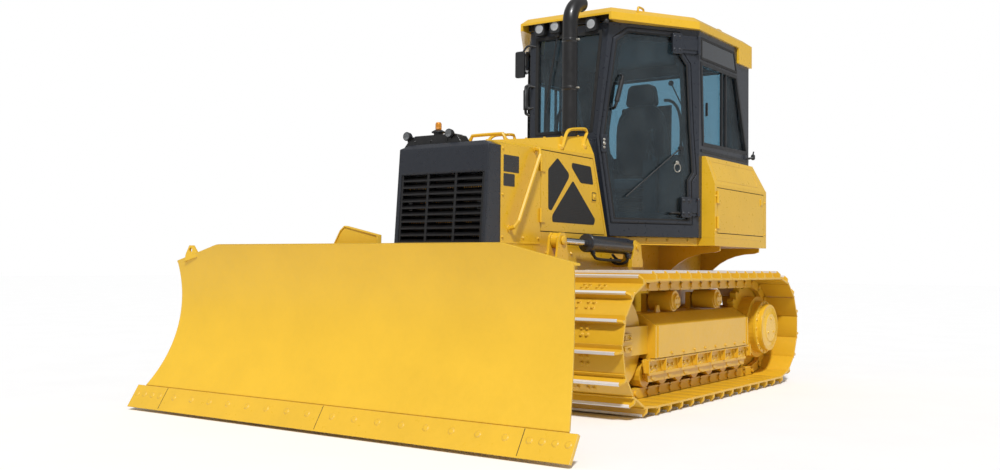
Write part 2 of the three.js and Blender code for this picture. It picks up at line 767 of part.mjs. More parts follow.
function roof() {
  const cornerX = cabCornerX + 40;
  const outline = [
    [roofFrontX, roofFrontHalf], [cornerX, roofHalfWidth], [roofRearX, roofHalfWidth],
    [roofRearX, -roofHalfWidth], [cornerX, -roofHalfWidth], [roofFrontX, -roofFrontHalf],
  ];
  const top = inset(outline, roofCrownInset);
  const level = (points, z) => points.map(([x, y]) => [x, y, z]);
  const slab = loft([
    level(outline, cabTopZ + GAP), level(outline, cabTopZ + roofEdge),
    level(top, cabTopZ + roofEdge + roofCrown),
  ]);
  const [low, high] = [cabTopZ - roofSkirtDepth, cabTopZ + 5];
  const offCab = GAP * 4;
  const skirt = both(block(roofRearX, roofSkirtFrontX, cabHalfWidth + offCab, roofHalfWidth, low, high));
  const rearSkirt = block(roofRearX, cabRearX - offCab, -roofHalfWidth, roofHalfWidth, low, high);
  const visorRearX = cabFrontTopX - cabWall + 8;
  const sheetZ = cabTopZ + roofEdge + roofCrown - roofSheet;
  const hollow = slabY([
    [roofFrontX + 1, cabTopZ - 1], [visorRearX, cabTopZ - 1], [visorRearX, sheetZ],
    [roofFrontX - roofCrownInset, sheetZ], [roofFrontX + 1, cabTopZ + roofEdge - roofSheet],
  ], -roofFrontHalf + roofSheet, roofFrontHalf - roofSheet);
  return join(cut(slab, hollow), skirt, rearSkirt);
}

// ---------------------------------------------------------------- inside the cab
const floorZ = deckTopZ + cabFloor;
const seatX = -1480;

function seatBase() {
  return join(
    block(seatX - 190, seatX + 190, -190, 190, floorZ + 20 + GAP, floorZ + 120),
    block(seatX - 130, seatX + 130, -130, 130, floorZ + 110, floorZ + 300),
    block(seatX - 230, seatX + 230, -230, 230, floorZ + 290, floorZ + 340),
    block(seatX - 262, seatX - 222, -90, 90, floorZ + 300, floorZ + 700),
  );
}

function seatCushion() {
  const top = floorZ + 340;
  return block(seatX - 200, seatX + 270, -240, 240, top + GAP, top + 110);
}

function seatBack() {
  const z = floorZ + 340;
  const rearX = seatX - 222 + GAP;
  const side = [[rearX, z + 130], [seatX - 95, z + 130], [seatX - 130, z + 760], [rearX, z + 760]];
  return slabY(side, -235, 235);
}

function controls() {
  const consoleTop = floorZ + 560;
  const armrest = both(block(seatX - 120, seatX + 400, 290, 400, floorZ + 10, consoleTop));
  const dashX = cabFrontLowX - cabWall - 15;
  const plateX = dashX - 130;
  const plate = block(seatX - 250, plateX, -400, 400, floorZ + GAP, floorZ + 20);
  const mat = block(plateX - 20, dashX, -240, 240, floorZ + GAP, floorZ + 20);
  const dash = slabY([
    [dashX, floorZ + 10], [dashX, floorZ + 560], [dashX - 120, floorZ + 600], [dashX - 200, floorZ + 540],
    [dashX - 100, floorZ + 10],
  ], 40, 230);
  const pedals = block(dashX - 120, dashX - 20, -200, 20, floorZ + 10, floorZ + 120);
  return join(plate, mat, armrest, dash, pedals);
}

// ---------------------------------------------------------------- side boxes
const boxDoorFrontX = boxFrontX - 50;
const boxDoorRearX = boxRearX + 60;
const boxDoor = [[boxDoorFrontX, 1165], [boxDoorFrontX, 1500], [boxDoorRearX, 1500], [boxDoorRearX, 1165]];

function sideBox() {
  const recess = slabY(inset(boxDoor, -RUN), boxOuterY - boxDoorThickness - RUN, boxOuterY + 20);
  return cut(boxShape(0), recess);
}

function sideBoxDoor() {
  const panel = slabY(boxDoor, boxOuterY - boxDoorThickness, boxOuterY);
  return join(panel, panelHinges(boxDoorFrontX, boxOuterY, [1240, 1430]));
}

// ---------------------------------------------------------------- hood and radiator housing
const hoodRearGap = 15;

/** The hood's outline at one end: side, bevel, top, bevel, side. */
function hoodRing(xAt, shoulderZ, topZ, distance, bottomZ) {
  const w = frameHalfWidth - distance;
  const bevel = w - hoodShoulder + distance / 3;
  const points = [[w, bottomZ], [w, shoulderZ - distance / 2], [bevel, topZ - distance],
    [-bevel, topZ - distance], [-w, shoulderZ - distance / 2], [-w, bottomZ]];
  return points.map(([y, z]) => [xAt(z), y, z]);
}

/** The hood's rear edge leans forward up to the shoulder and stands upright above it. */
function hoodRearX(z) {
  const share = (Math.min(z, hoodRearShoulderZ) - deckTopZ) / (hoodRearShoulderZ - deckTopZ);
  return hoodRearLowX + (hoodRearHighX - hoodRearLowX) * share;
}

function hoodBody(distance, stretch, bottomZ) {
  const frontX = () => hoodFrontX + stretch;
  return loft([
    hoodRing((z) => hoodRearX(z) - stretch, hoodRearShoulderZ, hoodRearTopZ, distance, bottomZ),
    hoodRing(frontX, hoodFrontShoulderZ, hoodFrontTopZ, distance, bottomZ),
  ]);
}

const hoodDoorOutline = [
  [hoodDoorFrontX, hoodDoorBottomZ], [hoodDoorFrontX, hoodDoorTopZ],
  [hoodRearX(hoodDoorTopZ) + hoodDoorStrip, hoodDoorTopZ],
  [hoodRearX(hoodDoorBottomZ) + hoodDoorStrip, hoodDoorBottomZ],
];

function hood() {
  const shell = cut(hoodBody(0, 0, frameTopZ), hoodBody(hoodWall, 60, frameTopZ - 20));
  const doorway = slabY(inset(hoodDoorOutline, -RUN), frameHalfWidth - hoodWall - 20, frameHalfWidth + 20);
  const stackHole = barZ(hoodRearTopZ - 200, hoodRearTopZ + 200, stackX, stackY, stackRadius + RUN);
  return join(
    cut(shell, doorway, mirrored(doorway), stackHole),
    both(sideHandrail()),
    both(rearHandrail()),
    frontHandrail(),
  );
}

function sideHandrail() {
  const y = frameHalfWidth;
  const out = 55;
  const points = [
    at(560, y - 8, 1655), at(575, y + out, 1640), at(620, y + out, 1560),
    at(820, y + out, 1200), at(850, y + out, 1150), at(855, y - 8, 1130),
  ];
  return rail(points, 14, { steps: 14, sides: 6 });
}

/** Height of the hood's flat top at a distance forward. */
function hoodTopZ(x) {
  return hoodFrontTopZ + ((hoodFrontX - x) * (hoodRearTopZ - hoodFrontTopZ)) / (hoodFrontX - hoodRearHighX);
}

/** A low rail across the top of the hood. */
function frontHandrail() {
  const x = 600;
  const z = hoodTopZ(x);
  const points = [at(x, -150, z - 12), at(x, -122, z + 42), at(x, 122, z + 42), at(x, 150, z - 12)];
  return rail(points, 12, { tension: 0.1, steps: 12, sides: 6 });
}

/** A loop to hold on the hood's rear shoulder. */
function rearHandrail() {
  const top = hoodRearTopZ;
  const points = [
    at(195, 330, top - 126), at(120, 318, top - 20), at(55, 312, top + 14), at(-147, 305, top + 40),
    at(-182, 304, top + 21), at(-150, 306, top - 25), at(-115, 316, top - 74),
  ];
  return rail(points, 12, { tension: 0.35, steps: 20, sides: 6 });
}

/** Two hinge knuckles beside the front edge of a panel door whose outer face is at y. */
function panelHinges(edgeX, y, zs) {
  const x = edgeX + RUN + panelHinge;
  const knuckles = zs.map((z) => join(
    barZ(z - 45, z + 45, x, y + GAP + panelHinge, panelHinge, 12),
    block(x - 60, x, y + GAP, y + GAP + 6, z - 45, z + 45),
    block(x - 60, edgeX - 2, y - 2, y + GAP + 6, z - 45, z + 45),
  ));
  return join(...knuckles);
}

function hoodDoor() {
  const panel = slabY(hoodDoorOutline, frameHalfWidth - hoodWall, frameHalfWidth);
  return join(panel, panelHinges(hoodDoorFrontX, frameHalfWidth, [1230, 1560]));
}

function housingFrontX(z) {
  const share = (z - frameTopZ) / (housingTopZ - frameTopZ);
  return housingBottomFrontX + (housingTopFrontX - housingBottomFrontX) * share;
}

const grilleHalf = frameHalfWidth - grilleSideMargin;
const grilleBottomZ = frameTopZ + grilleSill;

function radiatorHousing() {
  const rearX = hoodFrontX + GAP;
  const frontX = housingBottomFrontX + 20;
  const side = [
    [rearX, frameTopZ], [housingBottomFrontX, frameTopZ], [housingFrontX(housingTopZ - 30), housingTopZ - 30],
    [housingTopFrontX - 28, housingTopZ], [rearX, housingTopZ],
  ];
  const w = frameHalfWidth;
  const bevel = w - hoodShoulder;
  const front = [
    [-w, frameTopZ], [w, frameTopZ], [w, housingTopZ - housingCorner], [bevel, housingTopZ],
    [-bevel, housingTopZ], [-w, housingTopZ - housingCorner],
  ];
  const shell = common(slabY(side, -w, w), slabX(front, rearX, frontX));
  const opening = block(hoodFrontX + 60, frontX, -grilleHalf, grilleHalf, grilleBottomZ, grilleTopZ);
  const core = block(865, hoodFrontX + 30, -280, 280, frameTopZ, 1600);
  return join(cut(shell, opening), core);
}

function grille() {
  const y = grilleHalf - GAP;
  const z0 = grilleBottomZ + GAP;
  const z1 = grilleTopZ - GAP;
  const back = hoodFrontX + 60 + GAP;
  const frontAt = (z) => housingFrontX(z) - 4;
  const plate = (ya, yb) => slabY([[back, z0], [frontAt(z0), z0], [frontAt(z1), z1], [back, z1]], ya, yb);
  const bars = [-y, -y / 3 - 8, y / 3 - 8, y - 16].map((left) => plate(left, left + 16));
  const pitch = (z1 - z0) / louvres;
  const slats = [];
  for (let i = 0; i < louvres; i += 1) {
    const z = z0 + pitch * i;
    const front = frontAt(z) - 2;
    const slat = [[front - 42, z + 26], [front, z], [front, z + 11], [front - 38, z + 36]];
    slats.push(slabY(slat, -y + 4, y - 4));
  }
  return join(...bars, ...slats);
}

function exhaustStack() {
  const inner = stackRadius - stackWall;
  const straight = cut(
    barZ(engineTopZ + GAP, stackBendZ, stackX, stackY, stackRadius, 20),
    barZ(engineTopZ + 40, stackBendZ + 1, stackX, stackY, inner, 20),
  );
  const bend = [];
  for (let i = 0; i <= 6; i += 1) {
    const angle = (i / 6) * stackBendAngle;
    const back = stackBendRadius * (1 - Math.cos(angle));
    bend.push(at(stackX - back, stackY, stackBendZ + stackBendRadius * Math.sin(angle)));
  }
  bend.unshift(at(stackX, stackY, stackBendZ - 12));
  return join(straight, rail(bend, stackRadius, { tension: 0.5, steps: 8, sides: 20, bore: inner }));
}

// ---------------------------------------------------------------- push frame, knuckle and blade
const armBottomZ = liftPivotZ - armHeight / 2;
const armTopZ = liftPivotZ + armHeight / 2;

function pushFrame() {
  const half = [
    [liftPivotX - 85, armInnerY], [liftPivotX - 85, armOuterY], [armStraightX + 100, armOuterY],
    [kingpinX - 40, noseRadius], [kingpinX - 40, -10], [kingpinX - 200, -10], [kingpinX - 200, 60],
    [armStraightX, armInnerY],
  ].reverse();
  const halfEye = eyeWidth / 2 + earPlay;
  const near = cylinderY - halfEye - earThickness;
  const far = cylinderY + halfEye + earThickness;
  const ear = [
    [towerPinX - 170, armTopZ - 20], [towerPinX + 190, armTopZ - 20], [towerPinX + 60, towerPinZ - 60],
    [towerPinX + 48, towerPinZ + 22], [towerPinX + 22, towerPinZ + 50], [towerPinX - 22, towerPinZ + 50],
    [towerPinX - 48, towerPinZ + 22], [towerPinX - 60, towerPinZ - 60],
  ];
  const tower = join(
    slabY(ear, near, near + earThickness),
    slabY(ear, far - earThickness, far),
    block(towerPinX - 90, towerPinX + 110, near, far, armTopZ - 10, towerPinZ - 180),
    barY(near + 2, far + 8, towerPinX, towerPinZ, liftPinRadius, 16),
  );
  const earHalf = eyeWidth / 2 + earPlay;
  const [x, y] = [angleBarrelX, angleBarrelY];
  const lug = roundLug(x, y, 45);
  const lugTopZ = angleZ + earHalf + 14;
  const anglePad = join(
    slabZ(lug, angleZ - earHalf - 14, angleZ - earHalf),
    slabZ(lug, angleZ + earHalf, lugTopZ),
    block(x - 75, x - 52, y - 40, y + 60, armTopZ - 10, lugTopZ),
    barZ(angleZ - earHalf - 8, lugTopZ + 6, x, y, anglePinRadius, 16),
  );
  const left = join(slabZ(half, armBottomZ, armTopZ), tower, anglePad);
  const nose = barZ(armBottomZ, armTopZ, kingpinX, 0, noseRadius, 32);
  const neck = block(kingpinX - 200, kingpinX, -noseRadius, noseRadius, armBottomZ, armTopZ);
  const holes = both(barY(armInnerY - 20, armOuterY + 20, liftPivotX, liftPivotZ, 38 + PIN_PLAY));
  return cut(
    join(left, mirrored(left), nose, neck),
    holes,
    barZ(armBottomZ - 20, armTopZ + 20, kingpinX, 0, kingpinRadius + PIN_PLAY, 32),
  );
}

/** A lug around a pin at x, y that reaches back to the pad behind it. */
function roundLug(x, y, radius) {
  const side = radius - 5;
  return [
    [x - 75, y - side], [x + 10, y - side], [x + side, y - 20], [x + side, y + 20], [x + 10, y + side],
    [x - 75, y + side],
  ];
}

const knuckleBlockX = kingpinX + 110;

function knuckle() {
  const plateHalf = 95;
  const lowZ = armBottomZ - 5;
  const highZ = armTopZ + 5;
  const cheek = (z0, z1) => join(
    block(kingpinX, knuckleBlockX + 20, -plateHalf, plateHalf, z0, z1),
    barZ(z0, z1, kingpinX, 0, plateHalf, 32),
  );
  const body = block(knuckleBlockX, knuckleBlockX + 90, -100, 100, lowZ - 30, 650);
  const earHalf = eyeWidth / 2 + earPlay;
  const wingOutline = [
    [knuckleBlockX + 10, -90], [knuckleBlockX + 80, -90], [knuckleBlockX + 80, 90],
    [angleRodX + 40, angleRodY - 30], [angleRodX + 42, angleRodY + 20], [angleRodX, angleRodY + 45],
    [angleRodX - 44, angleRodY + 10], [knuckleBlockX + 10, 90],
  ];
  const wing = join(
    slabZ(wingOutline, angleZ - earHalf - 14, angleZ - earHalf),
    slabZ(wingOutline, angleZ + earHalf, angleZ + earHalf + 14),
    barZ(angleZ - earHalf - 8, angleZ + earHalf + 8, angleRodX, angleRodY, anglePinRadius, 16),
  );
  const towerX = tiltX + 50;
  const tower = slabX([
    [-100, 590], [100, 590], [106, 1067], [-143, 1121], [-175, 1095], [-226, 1015], [-226, 900],
  ], towerX, towerX + 30);
  const web = block(knuckleBlockX + 60, towerX + 20, -100, 100, 610, 650);
  const rib = slabY([[knuckleBlockX + 80, 640], [towerX + 5, 640], [towerX + 5, 900]], -50, -30);
  return join(
    cheek(lowZ - 30, lowZ), cheek(highZ, highZ + 30), body,
    barZ(lowZ - 10, highZ + 10, kingpinX, 0, kingpinRadius, 32),
    both(wing), tower, web, rib,
    barX(tiltX - 34, towerX + 10, tiltBarrelY, tiltBarrelZ, tiltPinRadius, 16),
    barX(knuckleBlockX + 80, trunnionX + 90, 0, liftPivotZ, trunnionRadius, 32),
  );
}

/** The axis, ahead of the blade, that its face curves round. */
const bladeAxis = (() => {
  const [dx, dz] = [bladeTopX - bladeBottomX, bladeTopZ - bladeBottomZ];
  const chord = Math.hypot(dx, dz);
  const rise = Math.sqrt(bladeRadius ** 2 - (chord / 2) ** 2);
  const [midX, midZ] = [(bladeTopX + bladeBottomX) / 2, (bladeTopZ + bladeBottomZ) / 2];
  return [midX + (dz / chord) * rise, midZ - (dx / chord) * rise];
})();

/** Where the middle of the skin's thickness lies at a height. */
function skinMiddleX(z) {
  return bladeAxis[0] - Math.sqrt((bladeRadius + moldboard / 2) ** 2 - (z - bladeAxis[1]) ** 2);
}

/** Points of the moldboard's curve, bottom to top, at a distance behind its face. */
function bladeCurve(behind, count = 12) {
  const angleOf = (x, z) => Math.atan2(z - bladeAxis[1], bladeAxis[0] - x);
  const from = angleOf(bladeBottomX, bladeBottomZ);
  const to = angleOf(bladeTopX, bladeTopZ);
  const points = [];
  for (let i = 0; i <= count; i += 1) {
    const angle = from + ((to - from) * i) / count;
    const r = bladeRadius + behind;
    points.push([bladeAxis[0] - r * Math.cos(angle), bladeAxis[1] + r * Math.sin(angle)]);
  }
  return points;
}

const edgeLength = Math.hypot(edgeTipX - edgeTopX, edgeTipZ - edgeTopZ);
const edgeDown = [(edgeTipX - edgeTopX) / edgeLength, (edgeTipZ - edgeTopZ) / edgeLength];
const edgeBack = [edgeDown[1], -edgeDown[0]];
/** A point on the cutting edge's line: down along it, and back through it. */
const onEdge = (down, back) => [
  edgeTopX + edgeDown[0] * down + edgeBack[0] * back,
  edgeTopZ + edgeDown[1] * down + edgeBack[1] * back,
];

function blade() {
  const face = bladeCurve(0);
  const back = bladeCurve(moldboard);
  const seat = edgeThickness + GAP;
  const deep = bladeCurve(moldboard / 2);
  const foot = [
    face[0], onEdge(0, seat), onEdge(edgeLength - 30, seat), onEdge(edgeLength - 30, seat + moldboard),
    onEdge(0, seat + moldboard), deep[1],
  ];
  const curved = slabY([...face, ...back.slice().reverse()], -edgeHalf, edgeHalf);
  const flat = slabY(foot, -edgeHalf, edgeHalf);
  const topZ = bladeTopZ + 4;
  const front = [
    [-edgeHalf, 0], [edgeHalf, 0], [bladeCornerHalf, bladeCornerZ], [bladeTopHalf, topZ],
    [-bladeTopHalf, topZ], [-bladeCornerHalf, bladeCornerZ],
  ];
  const halfAt = (x) => bladeRearHalf + bladeFlare * (x - bladeBackX);
  const frontX = edgeTipX + 50;
  const plan = [
    [bladeBackX, -halfAt(bladeBackX)], [frontX, -halfAt(frontX)], [frontX, halfAt(frontX)],
    [bladeBackX, halfAt(bladeBackX)],
  ];
  const bounds = common(slabX(front, bladeBackX, frontX), slabZ(plan, 0, topZ + 20));
  const skin = common(join(curved, flat), bounds);
  const ribBack = bladeBackX;
  const endRibY = bladeRearHalf - 30;
  const ribs = [180, 520, 900, endRibY].map((y) => {
    const top = y > bladeTopHalf ? 9 : 11;
    const curve = deep.slice(1, top);
    const last = curve[curve.length - 1];
    return slabY([...curve, [ribBack, last[1] - 60], [ribBack, deep[1][1] + 60]].reverse(), y - 10, y + 10);
  });
  const lowBeam = slabY([
    deep[0], deep[3], [ribBack + 20, deep[3][1] - 20], [ribBack + 60, bladeBottomZ + 4],
    [bladeBottomX - 40, bladeBottomZ - 36],
  ], -endRibY - 10, endRibY + 10);
  const highBeamHalf = 960;
  const highBeam = slabY([
    deep[9], deep[12], [bladeTopX - 54, bladeTopZ - 22], [ribBack + 30, bladeTopZ - 122],
    [ribBack + 30, deep[9][1] - 30],
  ], -highBeamHalf, highBeamHalf);
  const bossFrontX = skinMiddleX(liftPivotZ + bossRadius);
  const boss = barX(trunnionX, bossFrontX, 0, liftPivotZ, bossRadius, 32);
  const bossPlate = block(ribBack, bossFrontX, -250, 250, liftPivotZ - 60, liftPivotZ + 60);
  const [tiltLowZ, tiltHighZ] = [tiltRodZ - 60, tiltRodZ + 50];
  const tiltFrontX = skinMiddleX(tiltLowZ);
  const tiltBlock = block(tiltX - 40, tiltFrontX, tiltRodY + 62, tiltRodY + 110, tiltLowZ, tiltHighZ);
  const tiltEar = [
    [tiltRodY - 42, tiltRodZ - 25], [tiltRodY + 100, tiltRodZ - 55], [tiltRodY + 100, tiltRodZ + 45],
    [tiltRodY - 42, tiltRodZ + 25],
  ];
  const tiltEars = [-1, 1].map((side) => {
    const near = tiltX + side * (eyeWidth / 2 + earPlay);
    const far = near + side * 14;
    return slabX(tiltEar, Math.min(near, far), Math.max(near, far));
  });
  const tiltPin = barX(tiltX - 44, tiltX + 44, tiltRodY, tiltRodZ, tiltPinRadius, 16);
  const eye = liftingEye();
  return cut(
    join(skin, ...ribs.map(both), lowBeam, highBeam, boss, bossPlate, tiltBlock, ...tiltEars, tiltPin, eye),
    barX(trunnionX - 10, trunnionX + 100, 0, liftPivotZ, trunnionRadius + PIN_PLAY, 32),
  );
}

function liftingEye() {
  const y = -1305;
  const share = (bladeCornerHalf + y) / (bladeCornerHalf - bladeTopHalf);
  const z = bladeCornerZ + (bladeTopZ - bladeCornerZ) * share;
  const rearX = skinMiddleX(z - 20);
  const lug = slabX([
    [y - 60, z - 40], [y + 60, z - 10], [y + 52, z + 20], [y + 16, z + 62], [y - 12, z + 62],
    [y - 44, z + 10],
  ], rearX, rearX + 18);
  return cut(lug, barX(rearX - 10, rearX + 30, y, z + 32, 15, 16));
}

function cuttingEdge() {
  const profile = [
    onEdge(0, 0), onEdge(edgeLength, 0), onEdge(edgeLength - 6, edgeThickness), onEdge(0, edgeThickness),
  ];
  return slabY(profile, -edgeHalf, edgeHalf);
}

// ---------------------------------------------------------------- cylinders
/**
 * A hydraulic cylinder in its own frame: the barrel's eye at the origin, the rod towards +X.
 * Eyes lie along Y. The rod's eye has room for the small drift of an opened linkage.
 */
function cylinder({ length, barrelRadius, barrelLength, rodRadius, rodLength, eyeRadius, pinRadius, drift }) {
  const half = eyeWidth / 2;
  const bore = rodRadius + PIN_PLAY * 0.8;
  const neck = eyeRadius + 34; // the barrel starts clear of the ears
  const barrel = cut(
    join(
      barY(-half, half, 0, 0, eyeRadius),
      barX(0, neck + 12, 0, 0, half),
      barX(neck, barrelLength, 0, 0, barrelRadius),
      barX(barrelLength - 36, barrelLength, 0, 0, barrelRadius + 5),
    ),
    barY(-half - 5, half + 5, 0, 0, pinRadius + PIN_PLAY, 20),
    barX(neck + 24, barrelLength + 10, 0, 0, bore),
  );
  const rod = cut(
    join(
      barX(length - rodLength, length - eyeRadius * 0.7, 0, 0, rodRadius),
      barY(-half, half, length, 0, eyeRadius),
    ),
    barY(-half - 5, half + 5, length, 0, pinRadius + drift, 20),
  );
  return { barrel, rod };
}

/** Places a cylinder from its barrel pin towards its rod pin, with its pins along a direction. */
function placeCylinder(names, from, to, pinDirection, sizes) {
  const forward = new THREE.Vector3().subVectors(to, from);
  const length = forward.length();
  forward.normalize();
  const up = new THREE.Vector3().crossVectors(forward, pinDirection);
  const group = new THREE.Group();
  group.setRotationFromMatrix(new THREE.Matrix4().makeBasis(forward, pinDirection, up));
  group.position.copy(from);
  machine.add(group);
  const { barrel, rod } = cylinder({ length, ...sizes });
  part(names.barrel, barrel, 'slate', group);
  part(names.rod, rod, 'steel', group);
}

const liftSizes = {
  barrelRadius: 56, barrelLength: 670, rodRadius: 24, rodLength: 670, eyeRadius: 50,
  pinRadius: liftPinRadius, drift: 11,
};
const angleSizes = {
  barrelRadius: 40, barrelLength: 500, rodRadius: 20, rodLength: 447, eyeRadius: 46,
  pinRadius: anglePinRadius, drift: 21,
};
const tiltSizes = {
  barrelRadius: 42, barrelLength: 430, rodRadius: 20, rodLength: 480, eyeRadius: 42,
  pinRadius: tiltPinRadius, drift: 5,
};

function cylinders() {
  const names = (kind) => ({ barrel: `${kind}_barrel`, rod: `${kind}_rod` });
  [['left', 1], ['right', -1]].forEach(([side, sign]) => {
    const liftFrom = at(liftBracketX, sign * cylinderY, liftBracketZ);
    const liftTo = at(towerPinX, sign * cylinderY, towerPinZ);
    placeCylinder(names(`${side}_lift`), liftFrom, liftTo, Y, liftSizes);
    const angleFrom = at(angleBarrelX, sign * angleBarrelY, angleZ);
    const angleTo = at(angleRodX, sign * angleRodY, angleZ);
    placeCylinder(names(`${side}_angle`), angleFrom, angleTo, Z, angleSizes);
  });
  const tiltFrom = at(tiltX, tiltBarrelY, tiltBarrelZ);
  placeCylinder(names('tilt'), tiltFrom, at(tiltX, tiltRodY, tiltRodZ), X, tiltSizes);
}

// ---------------------------------------------------------------- assembly
part('main_frame', mainFrame(), 'yellow');
part('engine_block', engine(), 'iron');
part('deck', deck(), 'yellow');
part('hood', hood(), 'yellow');
pair('hood_door', hoodDoor(), 'yellow');
part('radiator_housing', radiatorHousing(), 'slate');
part('grille', grille(), 'black');
part('exhaust_stack', exhaustStack(), 'black');

part('cab_frame', cabFrame(), 'slate');
part('cab_roof', roof(), 'yellow');
const inScreen = slabX(screenOutline(-GAP), cabFrontTopX - 150, 0);
const inRearWindow = slabX(rearOutline(-GAP), cabRearX - 20, cabRearX + cabWall);
const inSideWindow = slabY(inset(sideWindow, GAP), cabHalfWidth - cabWall, cabHalfWidth + 20);
part('windscreen', common(glassSkin(), inScreen), 'glass');
part('rear_window', common(glassSkin(), inRearWindow), 'glass');
pair('side_window', common(glassSkin(), inSideWindow), 'glass');
pair('cab_door', cabDoor(), 'slate');
pair('door_glass', doorGlass(), 'glass');
part('seat_base', seatBase(), 'black');
part('seat_cushion', seatCushion(), 'seat');
part('seat_back', seatBack(), 'seat');
part('operator_controls', controls(), 'black');
pair('side_box', sideBox(), 'yellow');
pair('side_box_door', sideBoxDoor(), 'yellow');

pair('track', trackLoop(), 'yellow');
pair('track_frame', trackFrame(), 'yellow');
pair('roller_bank', rollerBank(), 'yellow');
pair('idler', idler(), 'yellow');
pair('sprocket', sprocket(), 'yellow');

part('push_frame', pushFrame(), 'yellow');
part('blade_knuckle', knuckle(), 'yellow');
part('blade', blade(), 'yellow');
part('cutting_edge', cuttingEdge(), 'yellow');
cylinders();

export default machine;
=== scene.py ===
"""Looks of a crawler bulldozer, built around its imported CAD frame.

Sizes are in millimetres in the row frame (+X forward, +Y the machine's left, +Z up) until a
piece is built, and metres from there on. Each sub-assembly is a class whose build() makes its
pieces, and each finish is a small frozen dataclass that makes its own node material.
"""

from __future__ import annotations

import logging
import math
from dataclasses import dataclass, field
from enum import Enum
from typing import Callable, Iterable, Sequence

import bmesh
import bpy
from mathutils import Matrix, Vector


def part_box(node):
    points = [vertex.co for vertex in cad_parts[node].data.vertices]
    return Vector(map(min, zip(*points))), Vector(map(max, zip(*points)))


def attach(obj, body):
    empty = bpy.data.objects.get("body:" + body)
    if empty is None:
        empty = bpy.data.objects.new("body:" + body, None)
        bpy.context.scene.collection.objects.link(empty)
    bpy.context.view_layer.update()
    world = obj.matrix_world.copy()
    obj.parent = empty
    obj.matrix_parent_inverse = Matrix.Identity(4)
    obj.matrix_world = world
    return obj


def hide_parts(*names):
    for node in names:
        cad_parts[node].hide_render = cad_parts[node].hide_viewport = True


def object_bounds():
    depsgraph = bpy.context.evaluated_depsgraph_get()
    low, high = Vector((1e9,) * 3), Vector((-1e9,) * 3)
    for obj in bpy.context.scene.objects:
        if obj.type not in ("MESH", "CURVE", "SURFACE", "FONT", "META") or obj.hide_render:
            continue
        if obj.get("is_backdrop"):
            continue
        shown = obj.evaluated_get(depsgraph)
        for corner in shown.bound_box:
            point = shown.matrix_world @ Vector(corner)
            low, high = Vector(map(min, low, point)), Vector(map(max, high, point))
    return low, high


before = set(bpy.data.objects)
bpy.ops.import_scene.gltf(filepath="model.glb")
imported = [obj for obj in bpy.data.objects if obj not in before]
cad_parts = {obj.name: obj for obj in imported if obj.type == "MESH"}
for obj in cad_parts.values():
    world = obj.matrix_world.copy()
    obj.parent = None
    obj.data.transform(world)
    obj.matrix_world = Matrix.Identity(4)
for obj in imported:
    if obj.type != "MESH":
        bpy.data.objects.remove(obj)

logging.basicConfig(level=logging.INFO, format="%(message)s")
log = logging.getLogger("bulldozer")

MM = 0.001
Point = Sequence[float]
Colour = tuple[float, float, float]

X_AXIS = Vector((1, 0, 0))
Y_AXIS = Vector((0, 1, 0))
Z_AXIS = Vector((0, 0, 1))


class Body(str, Enum):
    """The CAD bodies that pieces ride on."""

    CHASSIS = "chassis"
    PUSH_FRAME = "push_frame"
    KNUCKLE = "knuckle"
    BLADE = "blade"


class Side(Enum):
    """The machine's two sides, with the sign of Y on each."""

    LEFT = 1
    RIGHT = -1

    @property
    def label(self) -> str:
        """The side's name as the CAD names use it."""
        return self.name.lower()


